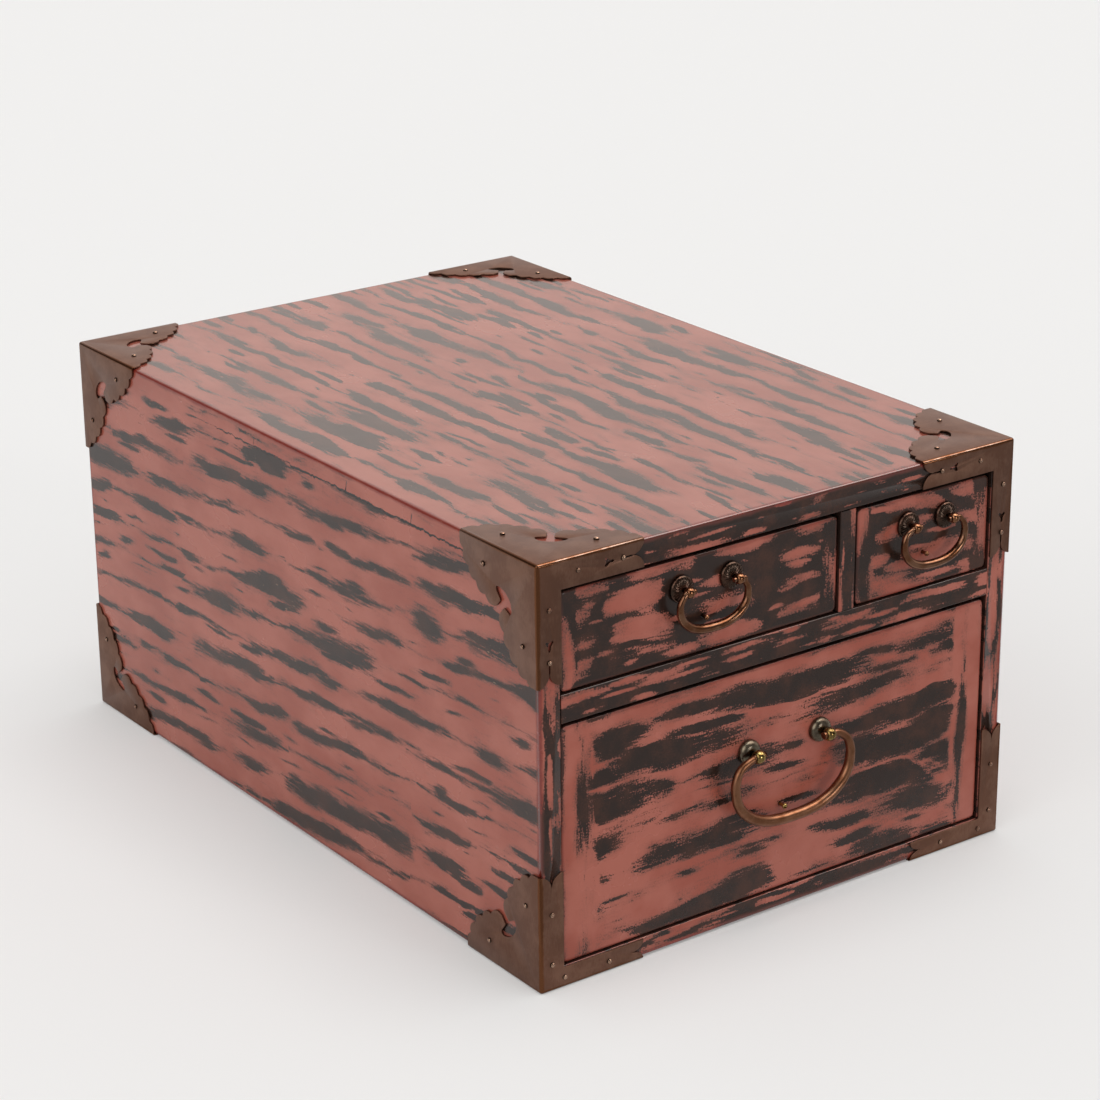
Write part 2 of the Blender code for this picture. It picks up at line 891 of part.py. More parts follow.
def fold_shell(name):
    """Three thin walls round a corner, with rounded folds."""
    shape, middle = box_shape((0, 0, 0), (plate_leg,) * 3)
    ease(shape, (("-x", "-y"), ("-x", "-z"), ("-y", "-z")), fold_radius, rounding_segments)
    bmesh.ops.translate(shape, verts=shape.verts, vec=middle)
    made = place(name, mesh_from(shape, name), home=cutters)
    cut(made, block(name + "_inside", (plate_thickness,) * 3, (plate_leg + overrun,) * 3))
    return made


def nail_head(name, face, first, second):
    """A domed nail head on one face of the corner, its underside within the plate."""
    sunk = plate_thickness / 4
    shape = bmesh.new()
    bmesh.ops.create_uvsphere(shape, u_segments=nail_sides, v_segments=nail_rings, radius=nail_head_radius)
    for vert in shape.verts:
        height = nail_head_height + sunk if vert.co.z < 0 else 2 * sunk
        vert.co.z *= height / nail_head_radius
    made = place(name, mesh_from(shape, name), home=cutters)
    made.matrix_world = face_turns[face] @ Matrix.Translation((first, second, sunk))
    return made


def fitting_nails(level, row):
    """(face, first, second) of every nail of a fitting. The underside has none."""
    arm_middle = (side_thickness + metal_out) / 2
    wings = [(first * plate_leg, second * plate_leg) for first, second in wing_nail_shares]
    nails = [("side", first, second) for first, second in wings]
    if level == "upper":
        nails += [("level", first, second) for first, second in wings]
    if row == "back":
        return nails + [("front", first, second) for first, second in wings]
    shares = upper_arm_nail_shares if level == "upper" else lower_arm_nail_shares
    thickness = top_thickness if level == "upper" else bottom_thickness
    for share in shares:
        nails.append(("front", share * plate_leg, arm_middle))
        nails.append(("front", (thickness + metal_out) / 2, share * plate_leg))
    return nails


def fitting_mesh(level, row):
    """One corner fitting: the folded plate, its cut-outs and its nail heads."""
    name = f"{level}_{row}_fitting"
    upright = side_thickness + metal_out
    across = metal_out + (top_thickness if level == "upper" else bottom_thickness)
    wings = wing_edge(front_style if row == "front" else back_style)
    arms = arms_edge(upright, across, with_slits=level == "upper")
    shell = fold_shell(name + "_shell")
    cut(
        shell,
        waste(name + "_side_waste", wings, "side"),
        waste(name + "_front_waste", arms if row == "front" else wings, "front"),
        waste(name + "_level_waste", wings, "level"),
    )
    if row == "front" and level == "upper":
        along = arm_eye_share * plate_leg
        upright_eye = boars_eye(Vector((along, upright / 2)), 0)
        across_eye = boars_eye(Vector((across / 2, along)), pi / 2)
        for index, eye in enumerate((upright_eye, across_eye)):
            cut(shell, through_plate(f"{name}_eye_{index}", eye, "front"))
    for index, (face, first, second) in enumerate(fitting_nails(level, row)):
        join(shell, nail_head(f"{name}_nail_{index}", face, first, second))
    mesh = evaluated_mesh(shell)
    smooth(mesh)
    return mesh


def build_fittings():
    for level, up in (("upper", 1), ("lower", -1)):
        for row, forward in (("front", -1), ("back", 1)):
            mesh = fitting_mesh(level, row)
            mesh.materials.append(copper)
            for side, right in (("left", -1), ("right", 1)):
                made = place(f"{row}_{level}_{side}_fitting", mesh)
                made.scale = (-right, -forward, -up)
                made.location = (
                    right * (case_right + metal_out),
                    case_back + metal_out if forward > 0 else case_front - metal_out,
                    wood_top + metal_out if up > 0 else 0,
                )


clear_scene()
chest = make_collection("table_top_chest")
cutters = make_collection("cutters", hidden=True)
lacquer = make_material("red_over_black_lacquer", (0.30, 0.085, 0.065), 0.32)
plain_wood = make_material("plain_inner_wood", (0.42, 0.28, 0.16), 0.65)
copper = make_material("patinated_copper", (0.16, 0.085, 0.055), 0.42, 0.9)
fitting_metal = make_material("dark_bronze", (0.10, 0.07, 0.05), 0.40, 1.0)
bail_metal = make_material("glossy_bronze", (0.28, 0.14, 0.07), 0.25, 1.0)

build_case()
build_drawer("left", small_handle)
build_drawer("right", narrow_handle)
build_drawer("bottom", large_handle)
build_fittings()
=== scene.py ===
# Table-top chest in red lacquer rubbed through to black, with patinated copper corners and bail handles.
import json
from math import cos, exp, pi, radians, sin

import bmesh
import bpy
from mathutils import Matrix, Vector


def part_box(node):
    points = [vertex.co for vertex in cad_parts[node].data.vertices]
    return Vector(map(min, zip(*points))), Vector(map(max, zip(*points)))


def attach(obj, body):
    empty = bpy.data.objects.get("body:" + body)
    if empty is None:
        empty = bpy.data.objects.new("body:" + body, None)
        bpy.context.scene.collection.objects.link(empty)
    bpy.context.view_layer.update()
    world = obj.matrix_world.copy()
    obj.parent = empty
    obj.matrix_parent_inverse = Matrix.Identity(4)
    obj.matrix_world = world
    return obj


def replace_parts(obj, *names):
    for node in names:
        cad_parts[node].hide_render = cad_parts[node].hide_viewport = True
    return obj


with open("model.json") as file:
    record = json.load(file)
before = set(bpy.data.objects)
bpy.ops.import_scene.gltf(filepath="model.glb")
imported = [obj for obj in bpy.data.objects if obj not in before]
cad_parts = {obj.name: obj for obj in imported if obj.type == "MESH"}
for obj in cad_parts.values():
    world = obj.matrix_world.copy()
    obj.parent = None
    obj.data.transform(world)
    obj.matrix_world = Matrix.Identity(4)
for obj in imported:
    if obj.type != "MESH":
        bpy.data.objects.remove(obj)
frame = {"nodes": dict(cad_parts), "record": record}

nodes = frame["nodes"]
record = frame["record"]
bodyOf = {node: body for body, members in record["behaviour"]["bodies"].items() for node in members}
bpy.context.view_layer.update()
mm = 0.001
leftSide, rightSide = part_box("left_side_board"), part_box("right_side_board")
caseLow = Vector((leftSide[0].x, leftSide[0].y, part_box("bottom_board")[0].z))
caseHigh = Vector((rightSide[1].x, rightSide[1].y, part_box("top_board")[1].z))
print("frame loaded:", len(nodes), "nodes")


# Number wraps a value socket, so that shader and geometry maths read as plain expressions.

class Number:
    def __init__(self, tree, socket):
        self.tree = tree
        self.socket = socket

    def maths(self, operation, *values, clamp=False):
        made = self.tree.add("ShaderNodeMath", {"operation": operation, "use_clamp": clamp}, values)
        return Number(self.tree, made.outputs[0])

    def __rsub__(self, other):
        return self.maths("SUBTRACT", other, self)

    def __neg__(self):
        return self.maths("MULTIPLY", self, -1.0)

    def clamped(self):
        return self.maths("ADD", self, 0.0, clamp=True)


def acting(operation):
    return lambda self, *other: self.maths(operation, self, *other)


for method, operation in {
    "__add__": "ADD", "__radd__": "ADD", "__sub__": "SUBTRACT", "__mul__": "MULTIPLY", "__rmul__": "MULTIPLY",
    "__truediv__": "DIVIDE", "__pow__": "POWER", "__gt__": "GREATER_THAN", "__lt__": "LESS_THAN",
    "least": "MINIMUM", "most": "MAXIMUM", "__abs__": "ABSOLUTE", "sine": "SINE", "floor": "FLOOR",
}.items():
    setattr(Number, method, acting(operation))


class Tree:
    def __init__(self, nodeTree):
        self.nodes = nodeTree.nodes
        self.links = nodeTree.links

    def put(self, node, socket, value):
        # a node stands for its first output
        value = value.socket if isinstance(value, Number) else value
        value = value.outputs[0] if isinstance(value, bpy.types.Node) else value
        if isinstance(value, bpy.types.NodeSocket):
            self.links.new(value, node.inputs[socket])
        else:
            node.inputs[socket].default_value = value

    def add(self, kind, settings=None, values=()):
        made = self.nodes.new(kind)
        for name, value in (settings or {}).items():
            setattr(made, name, value)
        for socket, value in values.items() if isinstance(values, dict) else enumerate(values):
            self.put(made, socket, value)
        return made

    def number(self, made, output=0):
        return Number(self, made.outputs[output])

    def split(self, vector):
        return [Number(self, part) for part in self.add("ShaderNodeSeparateXYZ", values=(vector,)).outputs]

    def joined(self, *three):
        return self.add("ShaderNodeCombineXYZ", values=three)

    def rise(self, value, low, high):
        values = {"Value": value, "From Min": low, "From Max": high}
        return self.number(self.add("ShaderNodeMapRange", {"interpolation_type": "SMOOTHSTEP"}, values))

    def tint(self, factor, first, second):
        first, second = [(*c, 1.0) if isinstance(c, tuple) else c for c in (first, second)]
        return self.add("ShaderNodeMix", {"data_type": "RGBA"}, {0: factor, 6: first, 7: second}).outputs[2]


class Finish(Tree):
    # a material with its Principled shader, and the patterns that the finishes here share
    def __init__(self, name, color, roughness, metallic=0.0):
        self.material = bpy.data.materials.new(name)
        self.material.use_nodes = True
        super().__init__(self.material.node_tree)
        self.set("Base Color", (*color, 1.0))
        self.set("Roughness", roughness)
        self.set("Metallic", metallic)
        self.material.diffuse_color = (*color, 1.0)

    def set(self, socket, value):
        self.put(self.nodes["Principled BSDF"], socket, value)

    def place(self):
        # the point on the piece, in millimetres
        coords = self.add("ShaderNodeTexCoord").outputs["Object"]
        return self.scaled(coords, (1 / mm,) * 3)

    def scaled(self, vector, scale):
        return self.add("ShaderNodeVectorMath", {"operation": "MULTIPLY"}, (vector, scale))

    def moved(self, vector, offset):
        return self.add("ShaderNodeVectorMath", {"operation": "ADD"}, (vector, offset))

    def texture(self, vector, scale, detail, roughness=0.5):
        values = {"Vector": vector, "Scale": scale, "Detail": detail, "Roughness": roughness}
        return self.add("ShaderNodeTexNoise", values=values)

    def noise(self, vector, scale, detail=2.0, roughness=0.5):
        # scale is one number, or a number for each axis
        if isinstance(scale, tuple):
            vector, scale = self.scaled(vector, scale), 1.0
        return self.number(self.texture(vector, scale, detail, roughness))

    def random(self, *three):
        cast = self.add("ShaderNodeTexWhiteNoise", {"noise_dimensions": "3D"}, {"Vector": self.joined(*three)})
        return self.split(cast.outputs["Color"])

    def blend(self, factor, first, second):
        return self.number(self.add("ShaderNodeMix", {"data_type": "FLOAT"}, {0: factor, 2: first, 3: second}))

    def done(self, color, roughness, height, relief):
        # the material with its patterns in place; the relief is in metres
        self.set("Base Color", color)
        self.set("Roughness", roughness)
        self.set("Normal", self.add("ShaderNodeBump", values={"Height": height, "Distance": relief}))
        return self.material


# Lacquer

lacquerLook = dict(
    red=(0.294, 0.072, 0.047),
    paleRed=(0.372, 0.112, 0.079),
    deepRed=(0.165, 0.014, 0.008),
    rubbed=(0.110, 0.052, 0.040),
    scratched=(0.330, 0.225, 0.150),
    black=(0.022, 0.0120, 0.0092),
    brownBlack=(0.064, 0.023, 0.013),
    bareWood=(0.36, 0.23, 0.13),
    woodGrain=(0.2592, 0.1656, 0.0936),
    crack=(0.010, 0.005, 0.004),
    redRoughness=0.26,
    blackRoughness=0.19,
    woodRoughness=0.62,
    specular=0.38,
    coatRoughness=0.08,
    coat=0.03,
    coatOnTop=0.36,
    lacqueredInside=15.0,  # mm that the lacquer reaches into the case
    crispEdge=0.10,  # widths of a stroke's border
    softEdge=0.44,
    haloReach=-0.85,  # how far round the dark strokes the red is rubbed
    crackReach=262.0,  # mm from the front to the end of the crack under the top board
    nicks=(84.0, 131.0, 203.0),  # mm from the front to short cracks that run up from it
    holes=((-48.0, -18.4), (59.6, -56.7)),  # X and Y of two small holes in the top, in mm
    joint=0.0003,  # metres between the top board and a side, as the CAD has it
    seamDepth=0.0009,  # metres that the lacquer reaches into this joint
    arris=0.0005,  # metres, rounding of the case's front arrises
    drawerArris=0.0010,
)


def brushed(finish, point, along, style, seed):
    # how deep a point is inside brush strokes along one axis, laid in staggered rows of cells with a stroke each
    def squeezed(lengthways, crossways):
        scales = tuple(lengthways if axis == along else crossways for axis in range(3))
        return finish.moved(finish.scaled(point, scales), (seed, seed * 1.3, seed * 0.7))

    across = finish.split(point)
    forth = across.pop(along)
    aside = (across[0] + across[1] + forth * style.get("lean", 0.0)) / style["row"]
    forth = forth / style["cell"]
    clouds = finish.texture(squeezed(0.011, 0.020), 1.0, 1.0).outputs["Color"]
    slow, crowd, shift = [part - 0.5 for part in finish.split(clouds)]
    ripple = finish.noise(squeezed(0.032, 0.045), 1.0, 2.0) - 0.5
    forth = forth + shift * 1.6
    aside = aside + slow * style["drift"] + ripple * style["ripple"] + seed * 5.3
    row = aside.floor()
    aside = aside - row - 0.5
    forth = forth + finish.random(row, seed, 0.0)[0] * 7.3
    cell = forth.floor()
    forth = forth - cell - 0.5
    chances = finish.random(row, cell, seed)
    length, width = [chance * (most - least) + least for chance, (least, most) in zip(chances, style["half"])]
    aside = aside + (chances[2] - 0.5) * 0.16
    border = finish.rise(abs(forth), 0.38, 0.5) + finish.rise(abs(aside), 0.40, 0.54) * style["apart"]
    value = 1.0 - ((forth / length) ** 2.0 + (aside / width) ** 2.0) ** 0.5 - border * 0.9
    value = value - (chances[2] < style["leftOut"]) * 0.9 + crowd * style["crowd"]
    ragged = finish.noise(squeezed(0.030, 0.17), 1.0, 3.0, 0.55) - 0.5
    # thin streaks join the strokes of a row
    streak = 0.22 - abs(aside) * 7.0 + ragged * 2.0
    fray = finish.noise(squeezed(0.09, 1.1), 1.0, 4.0, 0.65) - 0.5
    value = value.most(streak * style["streaks"] - 1.0 + style["streaks"])
    return value + ragged * style["ragged"] + fray * style["fray"]


def layered(finish, point, along, style, seed):
    # the strokes, and shorter dabs over them; dark on red or red on dark
    dabs = brushed(finish, point, along, dict(style, **style["dabs"]), seed + 9.0)
    return brushed(finish, point, along, style, seed).most(dabs) * style["dark"]


def insetsOf(finish, point, low, high):
    # how far the point is from the faces of a box along X, Y and Z, and the middle one of the three, in mm
    x, y, z = [(p - a / mm).least(b / mm - p) for p, a, b in zip(finish.split(point), low, high)]
    return (x, y, z), x + y + z - x.least(y).least(z) - x.most(y).most(z)


def lacquer(name, front, seed, along=0, broad=None, inner=None, box=None, holes=()):
    # the strokes of the front run along X or Z, those of the broad faces along Y
    look = lacquerLook
    finish = Finish(name, look["red"], look["redRoughness"])
    finish.set("Coat Roughness", look["coatRoughness"])
    finish.set("Specular IOR Level", look["specular"])
    point = finish.place()
    x, y, z = finish.split(point)
    normals = finish.split(finish.add("ShaderNodeNewGeometry").outputs["True Normal"])
    normalX, normalY, normalZ = normals
    onFront = abs(normalY) > 0.6

    value = layered(finish, point, along, front, seed)
    if box:
        # the brush follows the short ends of a drawer front
        fromEnd = (x - box[0].x / mm).least(box[1].x / mm - x)
        wavy = finish.noise(point, 0.05, 2.0)
        atEnd = finish.rise(fromEnd + (wavy - 0.5) * 14, front["endWidth"] * 1.2, front["endWidth"] * 0.8)
        ends = brushed(finish, point, 2, dict(front, **front["atEnds"]), seed + 5.0) * front["dark"]
        value = finish.blend(atEnd, value, ends)
    if broad:
        wide = layered(finish, point, 1, broad, seed + 2.0)
        if "margin" in broad:
            # the strokes stop short of the long edges
            fromSide = (x - caseLow.x / mm).least(caseHigh.x / mm - x)
            wavy = finish.noise(point, 0.04, 3.0) - 0.5
            wide = wide - finish.rise(fromSide + wavy * 9.0, broad["margin"] * 1.3, broad["margin"] * 0.7) * 0.9
        value = finish.blend(onFront, wide, value)
    speck = finish.noise(point, 1.3, 3.0, 0.65)
    value = value + (speck - 0.5) * (onFront * 0.9 + 0.8)
    hazy = finish.rise(finish.noise(point, (0.017, 0.012, 0.017), 1.0), 0.38, 0.56)
    crisp = (onFront * 0.75).most((normalZ > 0.6) * 0.85)
    dark = (value / (hazy * look["softEdge"] * (1.0 - crisp) + look["crispEdge"]) + 0.5).clamped()
    halo = finish.rise(value + (speck - 0.5) * 0.8, look["haloReach"], 0.10)

    low, high = box or (caseLow, caseHigh)
    fromArris = insetsOf(finish, point, low, high)[1]
    patchy = finish.noise(point, (0.10, 0.05, 0.10), 3.0)
    arris = finish.rise(fromArris + (patchy - 0.5) * 3.0, 1.8 if box else 2.5, 0.7) * (0.3 if box else 0.9)

    tone = finish.noise(point, (0.035, 0.020, 0.035), 4.0, 0.55)
    red = finish.tint(finish.rise(tone, 0.36, 0.66), look["red"], look["paleRed"])
    color = finish.tint(halo * finish.rise(tone, 0.74, 0.32) * 0.85, red, look["rubbed"])
    color = finish.tint(arris, color, look["deepRed"])
    thin = finish.rise(patchy + (speck - 0.5) * 0.5, 0.40, 0.78) * 0.7
    black = finish.tint(thin, look["black"], look["brownBlack"])
    color = finish.tint(dark * (1.0 - arris * 0.5), color, black)
    if broad:
        # short pale scratches along the grain, in a few places
        scratch = finish.noise(point, (2.2, 0.30, 2.2), 1.0)
        places = finish.rise(finish.noise(point, (0.030, 0.022, 0.030), 1.0), 0.50, 0.66)
        scratch = finish.rise(scratch, 0.715, 0.75) * places * (dark * 0.7 + 0.3)
        color = finish.tint(scratch * (1.0 - onFront), color, look["scratched"])
    rough = finish.blend(dark, look["redRoughness"], look["blackRoughness"]) + (tone - 0.5) * 0.10

    # painted shade: the faces that turn into the gaps are painted black; and bare wood where the lacquer ends inside
    # the case or behind a drawer front
    fromFront = y - low.y / mm
    if box:
        paintedGapShade = (abs(normalY) < 0.8) * finish.rise(fromFront, 0.15, 0.35)
        bare = finish.rise(fromFront + (patchy - 0.5) * 3.0, 6.6, 7.4)
    else:
        turned = normals[inner[0]] * inner[1] > 0.5 if inner else (abs(normalY) < 0.5) * 1.0
        paintedGapShade = turned * finish.rise(fromFront, 0.2, 0.6)
        bare = turned * finish.rise(fromFront + (patchy - 0.5) * 3.0 - look["lacqueredInside"], -0.4, 0.4)
    # painted shade in the gaps
    color = finish.tint(paintedGapShade * 0.9, color, look["black"])
    grain = finish.noise(point, (1.2, 0.02, 1.2), 3.0)
    wood = finish.tint(finish.rise(grain, 0.3, 0.7), look["bareWood"], look["woodGrain"])
    color = finish.tint(bare, color, wood)

    # the joint under the top board has cracked open towards the front
    crack = 0.0
    if inner and inner[0] != 1:
        course = finish.noise(point, (0.0, 0.045, 0.0), 5.0, 0.78) - 0.5
        jagged = finish.noise(point, (0.0, 0.21, 0.0), 3.0, 0.7) - 0.5
        breadth = 0.55 * finish.rise(patchy + course * 2.0, 0.20, 0.70)
        breadth = breadth * finish.rise(fromFront, look["crackReach"], 190.0)
        above = z - seamHeight / mm + course * 6.0 + jagged * 2.6
        crack = finish.rise(abs(above), breadth + 0.12, breadth) * finish.rise(breadth, 0.01, 0.05)
        for nick in look["nicks"]:
            beside = abs(fromFront - nick + jagged * 4.0 + above * 0.2)
            crack = crack.most(finish.rise(beside, 0.38, 0.12) * (above > 0.0) * finish.rise(above, 5.5, 3.5))
        crack = crack * (abs(normalX) > 0.6)
    for across, back in holes:
        away = ((x - across) ** 2.0 + (y - back) ** 2.0) ** 0.5
        crack = finish.rise(away, 0.75, 0.35) * (normalZ > 0.6) + crack
    color = finish.tint(crack, color, look["crack"])
    coat = (normalZ > 0.6) * (look["coatOnTop"] - look["coat"]) + look["coat"]
    if not box:
        # the case's front arris is polished
        coat = coat.most(finish.rise(fromArris + (patchy - 0.5) * 1.6, 1.5, 0.9) * finish.rise(fromFront, 1.6, 0.8))
    finish.set("Coat Weight", (1.0 - bare) * coat)
    swell = finish.noise(point, (0.10, 0.07, 0.10), 2.0)
    height = swell + dark * 0.22 + speck * 0.10 - crack * 2.0
    return finish.done(color, finish.blend(bare, rough, look["woodRoughness"]), height, 0.00012)


def dress(node, material):
    piece = nodes[node]
    piece.data.materials.clear()
    piece.data.materials.append(material)


def newObject(name, data):
    made = bpy.data.objects.new(name, data)
    bpy.context.scene.collection.objects.link(made)
    return made


def addPiece(name, mesh, material, body):
    # a finished piece that rides on a body
    mesh.materials.clear()
    mesh.materials.append(material)
    made = newObject(name, mesh)
    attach(made, body)
    return made


def drawAgain(node, mesh, material):
    # a finished piece in place of a CAD node, with the node's name and body
    first, *rest = node.split("_")
    name = first + "".join(part.title() for part in rest)
    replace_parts(addPiece(name, mesh, material, bodyOf[node]), node)


def helper(data, matrix=None):
    # an object that only serves to make a mesh
    made = newObject("helper", data)
    made.matrix_world = matrix or Matrix.Identity(4)
    return made


def bake(made, *others):
    # the mesh of an object after its modifiers, placed in the frame; the helpers go
    bpy.context.view_layer.update()
    evaluated = made.evaluated_get(bpy.context.evaluated_depsgraph_get())
    mesh = bpy.data.meshes.new_from_object(evaluated)
    mesh.transform(made.matrix_world)
    for used in (made, *others):
        bpy.data.objects.remove(used)
    return mesh


def meshOf(shape):
    mesh = bpy.data.meshes.new("shape")
    shape.to_mesh(mesh)
    shape.free()
    return mesh


def block(size, centre):
    shape = bmesh.new()
    bmesh.ops.create_cube(shape, size=1, matrix=Matrix.Translation(centre) @ Matrix.Diagonal((*size, 1)))
    return shape


def modify(target, kind, **settings):
    modifier = target.modifiers.new(kind.lower(), kind)
    for name, value in settings.items():
        setattr(modifier, name, value)


def smooth(mesh, angle=35):
    mesh.shade_smooth()
    mesh.set_sharp_from_angle(angle=radians(angle))
    return mesh


def roundedBoard(node, ways, radius):
    # a CAD board drawn again, the arrises of its front that run along the given axes rounded
    shape = bmesh.new()
    shape.from_mesh(nodes[node].data)
    shape.transform(nodes[node].matrix_world)
    bmesh.ops.remove_doubles(shape, verts=shape.verts, dist=1e-6)
    bmesh.ops.dissolve_limit(shape, angle_limit=radians(1), verts=shape.verts, edges=shape.edges)
    front = min(vert.co.y for vert in shape.verts) + 1e-5
    sharp = []
    for edge in shape.edges:
        first, second = [vert.co for vert in edge.verts]
        runs = any(abs((first - second)[way]) > 0.99 * (first - second).length for way in ways)
        if runs and edge.is_convex and edge.calc_face_angle(0) > radians(60) and max(first.y, second.y) < front:
            sharp.append(edge)
    bmesh.ops.bevel(shape, geom=sharp, offset=radius, segments=4, profile=0.5, affect="EDGES")
    made = helper(smooth(meshOf(shape), 50))
    modify(made, "WEIGHTED_NORMAL", keep_sharp=True)
    return bake(made)


class Shaping(Tree):
    # a Geometry Nodes group with named inputs; run() gives the mesh that it makes of an object
    kinds = {float: "NodeSocketFloat", int: "NodeSocketInt", bpy.types.Material: "NodeSocketMaterial"}

    def __init__(self, name, **inputs):
        self.group = bpy.data.node_groups.new(name, "GeometryNodeTree")
        self.values = inputs
        face = self.group.interface
        face.new_socket("Geometry", in_out="INPUT", socket_type="NodeSocketGeometry")
        for key, value in inputs.items():
            face.new_socket(key, in_out="INPUT", socket_type=self.kinds[type(value)])
        face.new_socket("Geometry", in_out="OUTPUT", socket_type="NodeSocketGeometry")
        super().__init__(self.group)
        self.entry = self.add("NodeGroupInput").outputs

    def given(self, key):
        return Number(self, self.entry[key])

    def shape(self, kind, *first, **named):
        # a geometry node, its inputs by place or by name with _ for a space
        made = self.add("GeometryNode" + kind, values=first)
        for name, value in named.items():
            self.put(made, name.replace("_", " "), value)
        return made

    def finish(self, geometry):
        geometry = self.shape("SetShadeSmooth", self.shape("RealizeInstances", geometry))
        made = self.shape("SetMaterial", geometry, Material=self.entry["Metal"])
        self.add("NodeGroupOutput", values=(made,))
        return self

    def run(self, data, matrix=None, **changes):
        made = helper(data, matrix)
        modifier = made.modifiers.new(self.group.name, "NODES")
        modifier.node_group = self.group
        for item in self.group.interface.items_tree:
            if item.in_out == "INPUT" and item.name in self.values:
                modifier[item.identifier] = changes.get(item.name, self.values[item.name])
        return bake(made)


# rows and cells in mm, half lengths and half widths of the strokes as shares of the cell and the row;
# dark is 1 for dark strokes on red and -1 for red ones on black
longStrokes = dict(
    row=14.5, cell=74.0, half=((0.18, 0.48), (0.12, 0.27)), leftOut=0.12, crowd=1.8,
    drift=0.5, ripple=0.5, streaks=0.9, ragged=1.9, fray=2.2, apart=0.8, dark=1.0,
    dabs=dict(row=12.0, cell=36.0, half=((0.14, 0.42), (0.07, 0.16)), leftOut=0.55, crowd=1.0, streaks=0.0),
)
sideStrokes = dict(longStrokes, lean=0.07)
topStrokes = dict(
    longStrokes, row=15.0, cell=100.0, half=((0.22, 0.49), (0.11, 0.26)), leftOut=0.08, ripple=0.8, ragged=2.3,
    fray=1.6, margin=6.0, dabs=dict(longStrokes["dabs"], leftOut=0.40, half=((0.12, 0.40), (0.08, 0.20))),
)
thinRed = dict(
    row=6.5, cell=44.0, half=((0.16, 0.46), (0.20, 0.50)), leftOut=0.30, crowd=2.0,
    drift=0.9, ripple=0.7, streaks=0.0, ragged=2.6, fray=1.9, apart=0.2, dark=-1.0,
    dabs=dict(row=4.0, cell=25.0, half=((0.14, 0.42), (0.15, 0.30)), leftOut=0.6),
)
redIslands = dict(
    row=11.0, cell=36.0, half=((0.22, 0.46), (0.18, 0.42)), leftOut=0.22, crowd=2.2,
    drift=1.2, ripple=0.9, streaks=0.0, ragged=3.0, fray=0.9, apart=0.3, dark=-1.0,
    dabs=dict(row=7.0, cell=24.0, half=((0.18, 0.42), (0.12, 0.34)), leftOut=0.5),
    endWidth=8.0, atEnds=dict(crowd=0.5),
)
wideStrokes = dict(
    row=14.0, cell=80.0, half=((0.24, 0.48), (0.24, 0.46)), leftOut=0.10, crowd=2.5,
    drift=0.8, ripple=0.7, streaks=0.6, ragged=2.2, fray=1.6, apart=0.2, dark=1.0,
    dabs=dict(row=9.0, cell=38.0, half=((0.20, 0.44), (0.16, 0.34)), leftOut=0.5, streaks=0.0),
    endWidth=15.0, atEnds=dict(row=11.0, half=((0.28, 0.48), (0.18, 0.30)), crowd=0.5),
)
seamHeight = leftSide[1].z + lacquerLook["joint"] / 2
lacquerBoards = {
    "top_board": dict(front=thinRed, seed=1.0, broad=topStrokes, inner=(2, -1), holes=lacquerLook["holes"]),
    "left_side_board": dict(front=thinRed, seed=2.0, along=2, broad=sideStrokes, inner=(0, 1)),
    "right_side_board": dict(front=thinRed, seed=3.4, along=2, broad=sideStrokes, inner=(0, -1)),
    "bottom_board": dict(front=thinRed, seed=4.1, broad=longStrokes, inner=(2, 1)),
    "back_board": dict(front=wideStrokes, seed=5.3, broad=longStrokes, inner=(1, -1)),
    "middle_rail": dict(front=thinRed, seed=6.2),
    "partition": dict(front=thinRed, seed=7.7, along=2),
}
for node, style in lacquerBoards.items():
    skin = lacquer(node + "Lacquer", **style)
    if node == "back_board":
        dress(node, skin)
    else:
        board = roundedBoard(node, (style.get("along", 0),), lacquerLook["arris"])
        drawAgain(node, board, skin)
redder = dict(redIslands, leftOut=0.06, row=13.0, half=((0.28, 0.50), (0.26, 0.50)))
for side, front, seed in (("left", redIslands, 11.0), ("right", redder, 14.2), ("bottom", wideStrokes, 17.5)):
    node = side + "_drawer_front"
    skin = lacquer(node + "Lacquer", front, seed, box=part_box(node))
    board = roundedBoard(node, (0, 2), lacquerLook["drawerArris"])
    drawAgain(node, board, skin)

# the lacquer covers the joint between the top board and each side
for side, edge, inwards in (("left", caseLow.x, 1), ("right", caseHigh.x, -1)):
    middle = Vector((edge + inwards * lacquerLook["seamDepth"] / 2, (caseLow.y + caseHigh.y) / 2, seamHeight))
    shape = block((lacquerLook["seamDepth"], caseHigh.y - caseLow.y, lacquerLook["joint"]), middle)
    skin = bpy.data.materials[side + "_side_boardLacquer"]
    addPiece(side + "SeamLacquer", meshOf(shape), skin, "case")
print("lacquer done")


# Bare wood inside

woodLook = dict(
    pale=(0.43, 0.29, 0.17),
    dark=(0.27, 0.165, 0.085),
    roughness=0.62,
    ringSpacing=5.0,  # mm
    waver=22.0,  # mm that the grain wanders to a side
)


